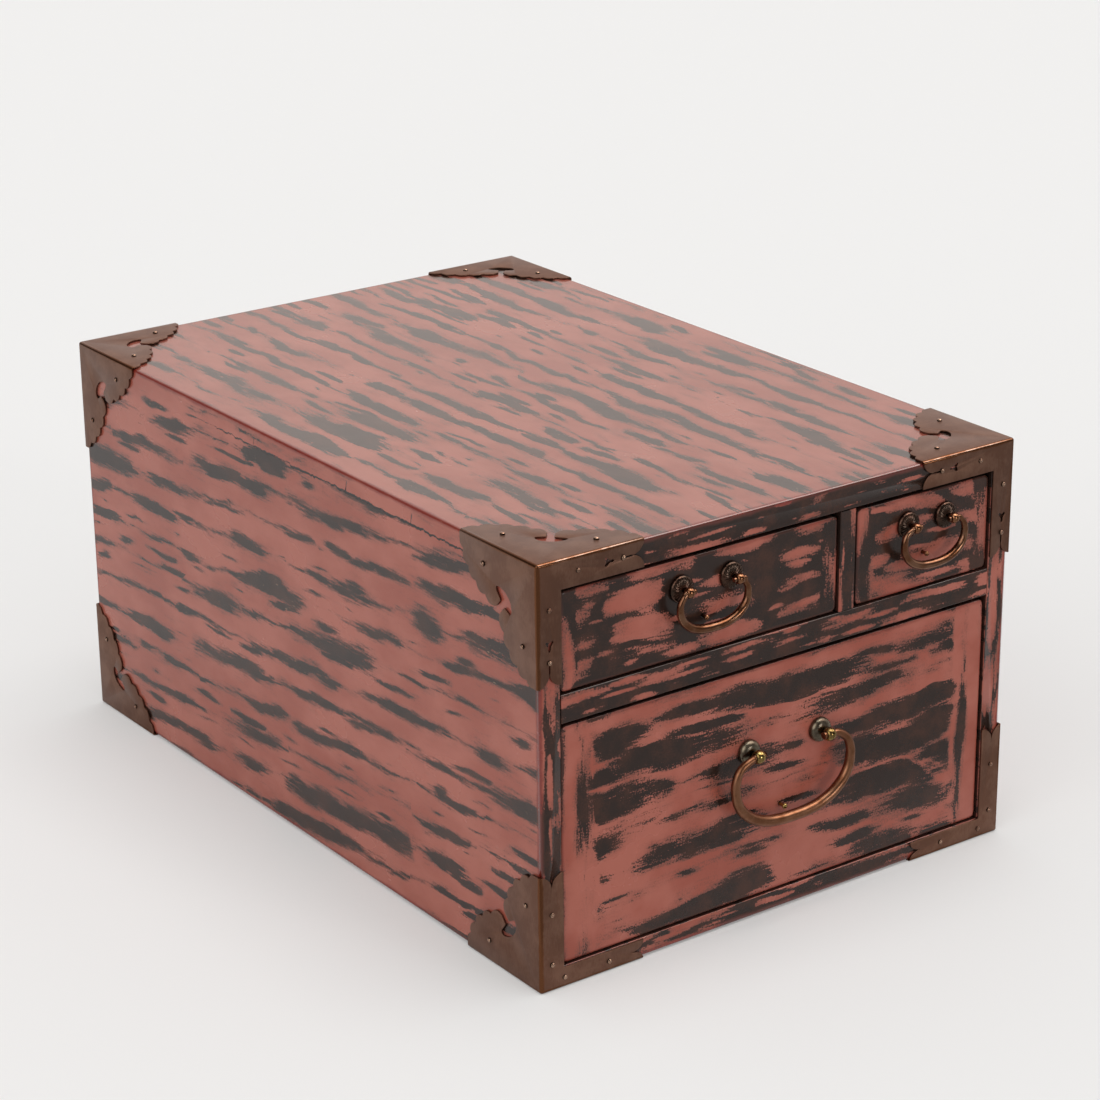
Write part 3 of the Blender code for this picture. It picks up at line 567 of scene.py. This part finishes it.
def bareWood(name, lengthAxis, seed):
    look = woodLook
    finish = Finish(name, look["pale"], look["roughness"])
    point = finish.moved(finish.place(), (seed * 19, seed * 7, seed * 31))
    squeeze = tuple(0.06 if axis == lengthAxis else 1.0 for axis in range(3))
    long = finish.scaled(point, squeeze)
    shift = finish.moved(finish.texture(long, 0.03, 2.0).outputs["Color"], (-0.5,) * 3)
    x, y, z = finish.split(finish.moved(long, finish.scaled(shift, (look["waver"],) * 3)))
    across = (x + z * 0.7 + y * 0.5) if lengthAxis == 1 else (x * 0.5 + y + z * 0.6)
    rings = (across * (2 * pi / look["ringSpacing"])).sine() * 0.5 + 0.5
    fibres = finish.noise(point, tuple(0.03 if axis == lengthAxis else 2.5 for axis in range(3)), 3.0)
    stain = finish.noise(point, 0.02, 3.0)
    factor = (rings ** 2.0 * 0.45 + fibres * 0.5 + (stain - 0.4) * 0.7).clamped()
    color = finish.tint(factor, look["pale"], look["dark"])
    return finish.done(color, look["roughness"] - fibres * 0.12, fibres + rings * 0.3, 0.00008)


for side, seed in (("left", 1.0), ("right", 2.3), ("bottom", 3.9)):
    for part, axis in (("left_wall", 1), ("right_wall", 1), ("back", 0), ("bottom", 1)):
        skin = bareWood(side + part.title().replace("_", "") + "Wood", axis, seed + len(part))
        dress(f"{side}_drawer_{part}", skin)
dress("dust_board", bareWood("dustBoardWood", 1, 6.6))
print("bare wood done")


# Metal

metalLook = dict(
    patina=(0.176, 0.088, 0.058),
    patinaDark=(0.115, 0.058, 0.040),
    patinaPale=(0.225, 0.130, 0.092),
    fold=(0.130, 0.050, 0.021),
    # a painted highlight along the folds that run along X
    paintedFoldHighlight=(0.430, 0.330, 0.270),
    nail=(0.400, 0.265, 0.190),
    eye=(0.330, 0.160, 0.085),
    bail=(0.232, 0.122, 0.074),
    bailDark=(0.140, 0.056, 0.026),
    satin=(0.265, 0.128, 0.072),
    satinDark=(0.170, 0.070, 0.034),
    brass=(0.360, 0.255, 0.090),
    brassDark=(0.120, 0.075, 0.028),
    blackened=(0.060, 0.041, 0.031),
    greenGrey=(0.205, 0.180, 0.130),
)


def patinatedCopper():
    look = metalLook
    finish = Finish("patinatedCopper", look["patina"], 0.38, 0.97)
    point = finish.place()
    cloud = finish.noise(point, 0.09, 4.0, 0.6)
    fine = finish.noise(point, (1.4, 1.4, 0.5), 3.0)
    color = finish.tint(finish.rise(cloud + (fine - 0.5) * 0.4, 0.38, 0.68), look["patinaDark"], look["patinaPale"])
    color = finish.tint(0.55, color, look["patina"])
    # the folds are darker and glossier, and along those that run along X a highlight is painted: the second nearest
    # outer plane is close there
    out = Vector((mm, mm, mm))
    insets, fromFold = insetsOf(finish, point, caseLow - out, caseHigh + out)
    folded = finish.rise(fromFold + (cloud - 0.5) * 2.0, 1.8, 0.9)
    color = finish.tint(folded * 0.92, color, look["fold"])
    # painted highlight: a pale line along the folds that run along X, its edge broken by noise
    worn = finish.noise(point, 0.25, 3.0)
    foldHighlightMask = finish.rise(insets[1].most(insets[2]) + (worn - 0.5) * 0.8, 0.55, 0.20)
    color = finish.tint(foldHighlightMask * 0.8, color, look["paintedFoldHighlight"])
    return finish.done(color, finish.blend(folded, 0.42, 0.24) + (fine - 0.5) * 0.12, fine * 0.5 + cloud, 0.00008)


def handleMetal(name, fresh, worn, roughness, seed, ring=None):
    look = metalLook
    finish = Finish(name, look[fresh], roughness, 1.0)
    point = finish.moved(finish.place(), (seed,) * 3)
    cloud = finish.noise(point, 0.16, 4.0, 0.6)
    fine = finish.noise(point, 2.0, 2.0)
    mixed = finish.tint(finish.rise(cloud + (fine - 0.5) * 0.3, 0.34, 0.70), look[fresh], look[worn])
    if ring:
        # painted shade round the foot of a nail head, where it meets the plate
        rim = finish.add("ShaderNodeAttribute", {"attribute_name": "rim"})
        mixed = finish.tint(finish.rise(finish.number(rim, "Fac"), 0.74, 0.96), mixed, ring)
    return finish.done(mixed, roughness + (cloud - 0.5) * 0.08, fine, 0.00001)


copper = patinatedCopper()
# the ring colour is painted shade at the foot of each nail head
nailMetal = handleMetal("nailCopper", "nail", "patina", 0.16, 5.0, ring=(0.012, 0.006, 0.004))
bailMetal = handleMetal("bailBronze", "bail", "bailDark", 0.21, 3.0)
satinBail = handleMetal("satinBailBronze", "satin", "satinDark", 0.33, 6.0)
smallEyes = handleMetal("copperyPosts", "eye", "bailDark", 0.15, 8.0)
brassEyes = handleMetal("brassPosts", "brass", "brassDark", 0.16, 12.0)
blackened = handleMetal("blackenedWashers", "blackened", "patinaDark", 0.20, 16.0)
greenGrey = handleMetal("greyWashers", "greenGrey", "blackened", 0.28, 20.0)


# Corner fittings. One is drawn at an origin on the chest's sharp corner, with X, Y and Z running inwards.

fittingSizes = dict(
    # metres, as the CAD has them
    plate=0.0007,
    gap=0.0003,
    leg=0.0500,
    foldRadius=0.0012,
    edgeRounding=0.00012,
    fishTail=0.0060,
    slitLength=0.0040,
    slitWidth=0.0007,
    lobeSteps=7,
    eyeCore=0.0009,
    eyeTail=0.0019,
    eyeLobe=0.0013,
    eyeSteps=48,
    nailRadius=0.0012,
    nailHeight=0.0009,
    nailSkirt=0.0002,  # how far a nail head reaches into the plate
    sideBoard=0.0102,
    topBoard=0.0110,
    bottomBoard=0.0077,
    cutterRoom=0.0020,  # how far the cutters reach past the plate
)
frontWing = dict(lobes=5, bulge=0.0055, lobeHeight=0.0018, mouthGap=0.0032, mouth=0.500)
backWing = dict(lobes=5, bulge=0.0040, lobeHeight=0.0017, mouthGap=0.0024, mouth=0.460)
# the cut-out inside the mouth between two wings, as shares of the leg along the diagonal and across it
mouthShares = (
    (0.628, 0.036), (0.622, 0.076), (0.616, 0.118), (0.596, 0.142), (0.566, 0.124), (0.542, 0.088), (0.524, 0.044),
    (0.52, 0.0), (0.526, -0.046), (0.548, -0.086), (0.578, -0.108), (0.606, -0.104), (0.618, -0.066), (0.628, -0.03),
)
wingNails = ((0.69, 0.19), (0.19, 0.70))
armNails = dict(upper=(0.38, 0.80), lower=(0.23, 0.66))
eyeShare = 0.66
metalOut = fittingSizes["plate"] + fittingSizes["gap"]
faceTurns = {
    "side": Matrix(((0, 0, 1, 0), (1, 0, 0, 0), (0, 1, 0, 0), (0, 0, 0, 1))),
    "front": Matrix(((0, 1, 0, 0), (0, 0, 1, 0), (1, 0, 0, 0), (0, 0, 0, 1))),
    "level": Matrix.Identity(4),
}


def throughPoints(points, steps):
    # a smooth curve through points, Catmull-Rom
    made = []
    ends = [points[0] * 2 - points[1], *points, points[-1] * 2 - points[-2]]
    for a, b, c, d in zip(ends, ends[1:], ends[2:], ends[3:]):
        for i in range(steps):
            t = i / steps
            made.append(
                0.5 * (2 * b + (c - a) * t + (2 * a - 5 * b + 4 * c - d) * t**2 + (3 * b - a - 3 * c + d) * t**3)
            )
    return made + [points[-1]]


def wingEdge(style):
    leg, steps = fittingSizes["leg"], fittingSizes["lobeSteps"]
    end, aside = leg * style["mouth"], style["mouthGap"] / 8**0.5
    tip, mouth = Vector((leg, 0)), Vector((end + aside, end - aside))
    outward = Vector((1, 1)).normalized()
    cusps = []
    for i in range(style["lobes"] + 1):
        along = i / style["lobes"]
        cusps.append(tip.lerp(mouth, along) + outward * style["bulge"] * 4 * along * (1 - along))
    wing = [tip]
    for start, finish in zip(cusps, cusps[1:]):
        across = (finish - start).normalized()
        bulge = Vector((across.y, -across.x)) * style["lobeHeight"] * 4
        for i in range(1, steps + 1):
            along = i / steps
            wing.append(start.lerp(finish, along) + bulge * along * (1 - along))
    back = frontWing["mouth"] - style["mouth"]
    cutOut = []
    for along, across in mouthShares:
        diagonal, side = along / 2**0.5 - back, across / 2**0.5
        cutOut.append(Vector((diagonal + side, diagonal - side)) * leg)
    # the outermost lobe ends flat
    wing = [Vector((min(point.x, leg - 0.00005), point.y)) for point in wing]
    return wing + throughPoints(cutOut, 4) + [Vector((point.y, point.x)) for point in reversed(wing)]


def armsEdge(upright, level, slit):
    def fishTail(width):
        leg, deep, steps = fittingSizes["leg"], fittingSizes["fishTail"], 10
        turns = [pi / 2 * i / steps for i in range(steps + 1)]
        near = [Vector((width / 2 * sin(turn), leg - deep * (1 - cos(turn)))) for turn in turns]
        if slit:
            near[-1].x -= fittingSizes["slitWidth"] / 2
            near.append(near[-1] - Vector((0, fittingSizes["slitLength"])))
        far = [Vector((width - point.x, point.y)) for point in reversed(near)]
        return near + (far if slit else far[1:])

    first = [Vector((point.y, point.x)) for point in fishTail(upright)]
    return first + [Vector((level, upright))] + list(reversed(fishTail(level)))


def boarsEye(centre, heading):
    # a heart-shaped piercing: a small core that swells into two lobes and a tail along the heading
    sizes, points = fittingSizes, []
    aside, lobe = radians(130), sizes["eyeLobe"]
    swellings = ((0, sizes["eyeTail"], 0.35), (aside, lobe, 0.5), (-aside, lobe, 0.5))
    for i in range(sizes["eyeSteps"]):
        turn = 2 * pi * i / sizes["eyeSteps"]
        reach = sizes["eyeCore"]
        for where, most, spread in swellings:
            away = (turn - where + pi) % (2 * pi) - pi
            reach += most * exp(-((away / spread) ** 2))
        points.append(centre + reach * Vector((cos(turn + heading), sin(turn + heading))))
    return points


def prism(points, face):
    # a cutter of the given outline through one face of the corner
    above, below = fittingSizes["cutterRoom"], fittingSizes["plate"] + fittingSizes["foldRadius"]
    shape = bmesh.new()
    ring = shape.faces.new([shape.verts.new((point.x, point.y, -above)) for point in points])
    raised = bmesh.ops.extrude_face_region(shape, geom=[ring])["geom"]
    verts = [part for part in raised if isinstance(part, bmesh.types.BMVert)]
    bmesh.ops.translate(shape, verts=verts, vec=(0, 0, above + below))
    bmesh.ops.triangulate(shape, faces=[part for part in shape.faces if len(part.verts) > 4], ngon_method="EAR_CLIP")
    bmesh.ops.recalc_face_normals(shape, faces=shape.faces)
    return helper(meshOf(shape), faceTurns[face])


def foldedPlate(level, row):
    sizes = fittingSizes
    leg, plate = sizes["leg"], sizes["plate"]
    shape = block((leg,) * 3, (leg / 2,) * 3)
    folds = [edge for edge in shape.edges if sum(all(v.co[a] < 1e-6 for v in edge.verts) for a in range(3)) == 2]
    bmesh.ops.bevel(shape, geom=folds, offset=sizes["foldRadius"], segments=5, profile=0.5, affect="EDGES")
    made = helper(meshOf(shape))
    room = block((leg,) * 3, (leg / 2 + plate,) * 3)
    upright = sizes["sideBoard"] + metalOut
    across = sizes["topBoard" if level == "upper" else "bottomBoard"] + metalOut
    wings = wingEdge(frontWing if row == "front" else backWing)
    arms = armsEdge(upright, across, level == "upper") if row == "front" else wings
    near, far = -sizes["cutterRoom"], leg + sizes["cutterRoom"]
    beyond = [Vector((near, far)), Vector((far, far)), Vector((far, near))]
    cutters = [helper(meshOf(room))]
    for face, edge in (("side", wings), ("front", arms), ("level", wings)):
        cutters.append(prism(edge + beyond, face))
    if (level, row) == ("upper", "front"):
        along = eyeShare * leg
        cutters.append(prism(boarsEye(Vector((along, upright / 2)), 0), "front"))
        cutters.append(prism(boarsEye(Vector((across / 2, along)), pi / 2), "front"))
    for cutter in cutters:
        modify(made, "BOOLEAN", operation="DIFFERENCE", solver="EXACT", object=cutter)
    modify(
        made, "BEVEL", width=sizes["edgeRounding"], segments=2,
        limit_method="ANGLE", angle_limit=radians(50), use_clamp_overlap=False,
    )
    return bake(made, *cutters)


def nailPlaces(level, row):
    # (face, first, second) of every nail of a fitting; the underside has none
    leg = fittingSizes["leg"]
    wings = [(first * leg, second * leg) for first, second in wingNails]
    nails = [("side", *pair) for pair in wings]
    if level == "upper":
        nails += [("level", *pair) for pair in wings]
    if row == "back":
        return nails + [("front", *pair) for pair in wings]
    board = fittingSizes["topBoard" if level == "upper" else "bottomBoard"]
    for share in armNails[level]:
        nails.append(("front", share * leg, (fittingSizes["sideBoard"] + metalOut) / 2))
        nails.append(("front", (board + metalOut) / 2, share * leg))
    return nails


def nailing():
    # domed nail heads on points whose "facing" is the way out of the plate
    radius, height = fittingSizes["nailRadius"], fittingSizes["nailHeight"]
    tree = Shaping("nailHeads", Radius=radius, Height=height, Uneven=0.10, Seed=4, Metal=nailMetal)
    ball = tree.shape("MeshUVSphere", Segments=20, Rings=14, Radius=tree.entry["Radius"])
    x, y, z = tree.split(tree.shape("InputPosition"))
    height = z.most(0.0) * tree.given("Height") / tree.given("Radius") - (z < 0.0) * fittingSizes["nailSkirt"]
    dome = tree.shape("SetPosition", ball, Position=tree.joined(x, y, height))
    out = (x * x + y * y) ** 0.5 / tree.given("Radius")
    # rim is how far out from the head's middle; the nail metal paints shade at the foot by it
    dome = tree.add("GeometryNodeStoreNamedAttribute", {"data_type": "FLOAT", "domain": "POINT"}, {
        "Geometry": dome, "Name": "rim", "Value": out,
    })
    facing = tree.add("GeometryNodeInputNamedAttribute", {"data_type": "FLOAT_VECTOR"}, {"Name": "facing"})
    turned = tree.add("FunctionNodeAlignRotationToVector", {"axis": "Z"}, {"Vector": facing.outputs["Attribute"]})
    # inputs 2, 3 and 8 are the least and the most of a number, and the seed
    drawn = tree.add("FunctionNodeRandomValue", {"data_type": "FLOAT"}, {
        2: 1.0 - tree.given("Uneven"), 3: 1.0, 8: tree.entry["Seed"],
    })
    points, scale = tree.entry["Geometry"], drawn.outputs[1]
    return tree.finish(tree.shape("InstanceOnPoints", points, Instance=dome, Rotation=turned, Scale=scale))


def buildFittings():
    places, outward = [], []
    for level, up in (("upper", 1), ("lower", -1)):
        for row, forward in (("front", -1), ("back", 1)):
            drawn = foldedPlate(level, row)
            for side, right in (("left", -1), ("right", 1)):
                corner = Matrix.Translation((
                    (caseHigh.x if right > 0 else caseLow.x) + right * metalOut,
                    (caseHigh.y if forward > 0 else caseLow.y) + forward * metalOut,
                    (caseHigh.z if up > 0 else caseLow.z) + up * metalOut,
                )) @ Matrix.Diagonal((-right, -forward, -up, 1))
                mesh = drawn.copy()
                mesh.transform(corner)
                if right * forward * up > 0:
                    mesh.flip_normals()
                drawAgain(f"{row}_{level}_{side}_fitting", smooth(mesh), copper)
                for face, first, second in nailPlaces(level, row):
                    placed = corner @ faceTurns[face]
                    places.append(placed @ Vector((first, second, 0)))
                    outward.append(placed.to_3x3() @ Vector((0, 0, -1)))
    dots = bpy.data.meshes.new("nailPoints")
    dots.from_pydata(places, [], [])
    facing = dots.attributes.new("facing", "FLOAT_VECTOR", "POINT")
    facing.data.foreach_set("vector", [part for vector in outward for part in vector])
    addPiece("cornerNails", nailing().run(dots), nailMetal, "case")


buildFittings()
print("fittings done")


# Handles

smallHandle = dict(
    # metres, as the CAD has them
    halfWidth=0.0166, drop=0.0168, thick=0.0019, thin=0.0010, washer=0.0056, dome=0.0026,
    head=0.0022, headWidth=0.0034, pin=0.0009, stud=0.0011, ribs=22, ribDepth=0.00022,
)
handleSizes = {
    "left": smallHandle,
    "right": dict(smallHandle, halfWidth=0.0163, drop=0.0172),
    "bottom": dict(
        halfWidth=0.0298, drop=0.0306, thick=0.0024, thin=0.0015, washer=0.0052, dome=0.0034,
        head=0.0028, headWidth=0.0040, pin=0.0011, stud=0.0012, ribs=0, ribDepth=0.0,
    ),
}
# the right half of a bail from its shoulder to its lowest point, as shares of half width and drop
bailShares = (
    (0.905, -0.10), (0.985, -0.235), (1.0, -0.40), (0.945, -0.61), (0.78, -0.80), (0.50, -0.942), (0.23, -0.992),
)
bailSwell = 0.6  # how quickly a bail thickens from its ends
bailEnd = 0.0012  # metres of a bail inside its eye's inner end
play = 0.0003  # metres between parts that fit into or lie on each other
pinLegs = dict(length=0.0130, thick=0.0008, middle=0.0007, shankEnd=0.0011, rounding=0.0002)
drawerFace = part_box("left_drawer_front")[0].y
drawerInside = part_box("left_drawer_front")[1].y


def turnedMesh(profile, steps, matrix):
    # a turned shape round Z from closed (radius, height) points
    shape = bmesh.new()
    verts = [shape.verts.new((radius, 0, height)) for radius, height in profile]
    edges = [shape.edges.new(pair) for pair in zip(verts, verts[1:] + verts[:1])]
    bmesh.ops.spin(shape, geom=verts + edges, axis=(0, 0, 1), cent=(0, 0, 0), steps=steps, angle=2 * pi)
    bmesh.ops.remove_doubles(shape, verts=shape.verts, dist=1e-7)
    bmesh.ops.recalc_face_normals(shape, faces=shape.faces)
    mesh = meshOf(shape)
    mesh.transform(matrix)
    return mesh


def sweeping():
    # a round bar along a curve whose radius is its points' own
    tree = Shaping("roundBar", Sides=22, Steps=260, Metal=bailMetal)
    path = tree.shape("ResampleCurve", tree.entry["Geometry"], Count=tree.entry["Steps"])
    ring = tree.shape("CurvePrimitiveCircle", Resolution=tree.entry["Sides"], Radius=1.0)
    radius = tree.shape("InputRadius")
    return tree.finish(tree.shape("CurveToMesh", path, Profile_Curve=ring, Fill_Caps=True, Scale=radius))


def ribbing():
    # presses radial ribs into a domed disc round Z: the height falls in each furrow, and not at the rim or the hole
    tree = Shaping("radialRibs", Ribs=22, Depth=0.00022, Rim=0.0056, Hole=0.0012, Metal=blackened)
    x, y, z = tree.split(tree.shape("InputPosition"))
    out = (x * x + y * y) ** 0.5
    share = ((out - tree.given("Hole")) / (tree.given("Rim") - tree.given("Hole"))).clamped()
    furrow = (y.maths("ARCTAN2", y, x) * tree.given("Ribs")).sine() * 0.5 + 0.5
    level = share * (1.0 - share) * 4.0 * (z > 0.0005)
    lower = z - furrow * level * tree.given("Depth")
    return tree.finish(tree.shape("SetPosition", tree.entry["Geometry"], Position=tree.joined(x, y, lower)))


def bailCurve(sizes, spacing):
    inner = spacing / 2 - sizes["headWidth"] / 2 - bailEnd
    outer = spacing / 2 + sizes["headWidth"] / 2 + play
    thick, thin = sizes["thick"], sizes["thin"]
    right = [(inner, 0, thin), (outer, 0, thin)]
    for xShare, zShare in bailShares:
        radius = thin + (thick - thin) * min(-zShare, 1) ** bailSwell
        right.append((sizes["halfWidth"] * xShare, sizes["drop"] * zShare, radius))
    knots = right + [(0, -sizes["drop"], thick)] + [(-x, z, radius) for x, z, radius in reversed(right)]
    curve = bpy.data.curves.new("bailPath", "CURVE")
    curve.dimensions = "3D"
    curve.resolution_u = 24
    spline = curve.splines.new("BEZIER")
    spline.bezier_points.add(len(knots) - 1)
    for knot, (x, z, radius) in zip(spline.bezier_points, knots):
        knot.co = (x, 0, z)
        knot.radius = radius
        knot.handle_left_type = knot.handle_right_type = "AUTO"
    # the ends stay on the axis through the eyes
    for which, ahead in ((0, 1), (1, 1), (-1, -1), (-2, -1)):
        knot = spline.bezier_points[which]
        knot.handle_left_type = knot.handle_right_type = "FREE"
        reach = Vector(((outer - inner) / 3 * ahead, 0, 0))
        knot.handle_left = knot.co - reach
        knot.handle_right = knot.co + reach
    return curve


def eyePost(sizes, centre, inside):
    # a split pin: a barrel head with a slit all round, a shank, and legs bent flat inside the drawer front
    hole, half = sizes["thin"] + play, sizes["headWidth"] / 2
    crown = sizes["head"] - hole
    slitWide, slitDeep, steps = 0.00022, crown * 0.45, 10
    upper = []
    for i in range(steps + 1):
        turn = pi / 2 * i / steps
        upper.append((hole + crown * sin(turn), slitWide / 2 + (half - slitWide / 2) * cos(turn)))
    profile = [(hole, half * 0.96), *upper[1:], (hole + crown - slitDeep, slitWide / 2)]
    profile += [(radius, -height) for radius, height in reversed(profile)]
    lying = Matrix.Translation(centre) @ Matrix.Rotation(pi / 2, 4, "Y")
    head = helper(turnedMesh(profile, 40, lying))
    start, end = centre.y + hole + sizes["pin"] / 4, inside + pinLegs["shankEnd"]
    shank = bmesh.new()
    middle = Vector((centre.x, (start + end) / 2, centre.z))
    bmesh.ops.create_cone(
        shank, cap_ends=True, segments=24, radius1=sizes["pin"], radius2=sizes["pin"], depth=end - start,
        matrix=Matrix.Translation(middle) @ Matrix.Rotation(pi / 2, 4, "X"),
    )
    size = (pinLegs["length"], pinLegs["thick"], sizes["pin"] * 2)
    legs = block(size, (centre.x, inside + pinLegs["middle"], centre.z))
    bmesh.ops.bevel(legs, geom=legs.edges[:], offset=pinLegs["rounding"], segments=2, profile=0.5, affect="EDGES")
    others = [helper(meshOf(shank)), helper(meshOf(legs))]
    for other in others:
        modify(head, "BOOLEAN", operation="UNION", solver="EXACT", object=other)
    return bake(head, *others)


def buildHandles():
    joints = {joint["name"]: joint for joint in record["behaviour"]["joints"]}
    bars, ribs = sweeping(), ribbing()
    forward = Matrix.Rotation(pi / 2, 4, "X")
    for side, sizes in handleSizes.items():
        large = side == "bottom"
        eyes, rims = (brassEyes, greenGrey) if large else (smallEyes, blackened)
        axis = Vector(joints[side + "_bail_swing"]["pos_m"])
        boxes = [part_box(f"{side}_handle_{which}_washer") for which in ("left", "right")]
        middles = [(low + high) / 2 for low, high in boxes]
        bronze = satinBail if large else bailMetal
        bar = bars.run(bailCurve(sizes, middles[1].x - middles[0].x), Matrix.Translation(axis), Metal=bronze)
        drawAgain(side + "_bail", bar, bronze)
        hole, rim, rise = sizes["pin"] + play, sizes["washer"], sizes["dome"]
        turns = [pi / 2 * i / 12 for i in range(13)]
        profile = [(hole + (rim - hole) * sin(t), rise * (0.25 + 0.75 * cos(t))) for t in turns]
        profile += [(rim, 0), (hole, 0)]
        for which, middle in zip(("left", "right"), middles):
            disc = turnedMesh(profile, 132, Matrix.Identity(4))
            place = Matrix.Translation((middle.x, drawerFace - play, middle.z)) @ forward
            if sizes["ribs"]:
                shaped = {"Ribs": sizes["ribs"], "Depth": sizes["ribDepth"], "Rim": rim, "Hole": hole}
                disc = ribs.run(disc, place, **shaped)
            else:
                disc.transform(place)
            drawAgain(f"{side}_handle_{which}_washer", smooth(disc, 50), rims)
            post = eyePost(sizes, Vector((middle.x, axis.y, axis.z)), drawerInside)
            drawAgain(f"{side}_handle_{which}_post", smooth(post), eyes)
        low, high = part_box(side + "_handle_stud")
        radius, top = sizes["stud"], high.y - low.y
        profile = [(0.00001, top), *((radius * sin(t), top - radius + radius * cos(t)) for t in turns[1:])]
        profile += [(radius * 0.6, top - radius * 1.4), (radius * 0.6, 0), (0.00001, 0)]
        foot = Matrix.Translation(((low.x + high.x) / 2, high.y, (low.z + high.z) / 2)) @ forward
        drawAgain(side + "_handle_stud", smooth(turnedMesh(profile, 28, foot)), eyes)


buildHandles()
print("handles done")


# Studio

studio = dict(
    lens=101.0,
    cameraPlace=(-0.7323, -1.03175, 0.5839),
    forward=(0.5467, 0.7584, -0.3549),
    up=(0.2152, 0.2824, 0.9348),
    floorColor=(0.855, 0.847, 0.838),
    floorGlow=0.25,  # the share of the seen floor that is even, so that its shadows stay pale
    glowColor=(0.800, 0.797, 0.790),
    floorSize=12.0,
    skyLight=0.57,
    skySeen=0.88,
    skyColor=(1.0, 0.995, 0.99),
    mirroredColor=(1.0, 0.900, 0.845),
    # direction that the light travels, strength and spread in degrees
    lamps=dict(
        keyLight=((-0.12, 0.06, -1.0), 1.08, 42.0),
        sideLight=((1.0, 0.12, -0.6), 0.72, 60.0),
        frontLight=((-0.30, 1.0, -0.20), 0.48, 14.0),
    ),
    # what glossy surfaces mirror: a dim room, and lights with their direction, the cosines where they begin and are
    # full, and their strength; and the floor before the chest, dimmer by a share between two distances in mm
    dimRoom=0.14,
    mirrored=(
        ((0.75, 0.50, 0.45), 0.20, 0.75, 1.0),
        ((-0.75, -0.45, 0.50), 0.86, 0.94, 1.2),
        ((0.55, -0.20, 0.81), 0.90, 0.97, 5.0),
    ),
    floorMirrored=(170.0, 260.0, 0.50),
)


def buildStudio():
    look = studio
    camera = newObject("photoCamera", bpy.data.cameras.new("photoCamera"))
    camera.data.sensor_width = 36.0
    camera.data.lens = look["lens"]
    camera.data.clip_start = 0.05
    camera.data.clip_end = 50.0
    back = -Vector(look["forward"]).normalized()
    right = Vector(look["up"]).cross(back).normalized()
    up = back.cross(right)
    camera.matrix_world = Matrix.Translation(look["cameraPlace"]) @ Matrix((right, up, back)).transposed().to_4x4()
    bpy.context.scene.camera = camera

    half = look["floorSize"] / 2
    mesh = bpy.data.meshes.new("floor")
    mesh.from_pydata([(-half, -half, 0), (half, -half, 0), (half, half, 0), (-half, half, 0)], [], [(0, 1, 2, 3)])
    floor = newObject("floor", mesh)
    paper = Finish("paperFloor", look["floorColor"], 0.9)
    paper.set("Specular IOR Level", 0.1)
    near, far, dimmed = look["floorMirrored"]
    rays = paper.add("ShaderNodeLightPath")
    share = paper.number(rays, "Is Camera Ray") * look["floorGlow"]
    ahead = paper.rise(-paper.split(paper.place())[1], near, far)
    less = paper.number(rays, "Is Glossy Ray") * ahead * dimmed + share
    paper.set("Base Color", paper.tint(less, look["floorColor"], (0.0, 0.0, 0.0)))
    paper.set("Emission Color", paper.tint(share, (0.0, 0.0, 0.0), look["glowColor"]))
    paper.set("Emission Strength", 1.0)
    mesh.materials.append(paper.material)

    world = bpy.data.worlds.new("studioSky")
    bpy.context.scene.world = world
    world.use_nodes = True
    sky = Tree(world.node_tree)
    rays = sky.add("ShaderNodeLightPath")
    seen = sky.number(rays, "Is Camera Ray").most(sky.number(rays, "Is Transmission Ray"))
    mirrored = sky.number(rays, "Is Glossy Ray")
    toward = sky.add("ShaderNodeTexCoord").outputs["Generated"]
    mirror = look["dimRoom"]
    for direction, begins, full, power in look["mirrored"]:
        values = (toward, Vector(direction).normalized()[:])
        cosine = sky.number(sky.add("ShaderNodeVectorMath", {"operation": "DOT_PRODUCT"}, values), "Value")
        mirror = (sky.rise(cosine, begins, full) * power).most(mirror)
    even = look["skyLight"]
    background = sky.nodes["Background"]
    sky.put(background, "Color", sky.tint(mirrored, look["skyColor"], look["mirroredColor"]))
    sky.put(background, "Strength", even + seen * (look["skySeen"] - even) + mirrored * (mirror - even))

    for name, (direction, strength, spread) in look["lamps"].items():
        lamp = newObject(name, bpy.data.lights.new(name, "SUN"))
        lamp.data.energy = strength
        lamp.data.angle = radians(spread)
        lamp.rotation_mode = "QUATERNION"
        lamp.rotation_quaternion = Vector(direction).to_track_quat("-Z", "Y")


buildStudio()
bpy.context.scene.view_settings.view_transform = "Standard"
print("studio done")
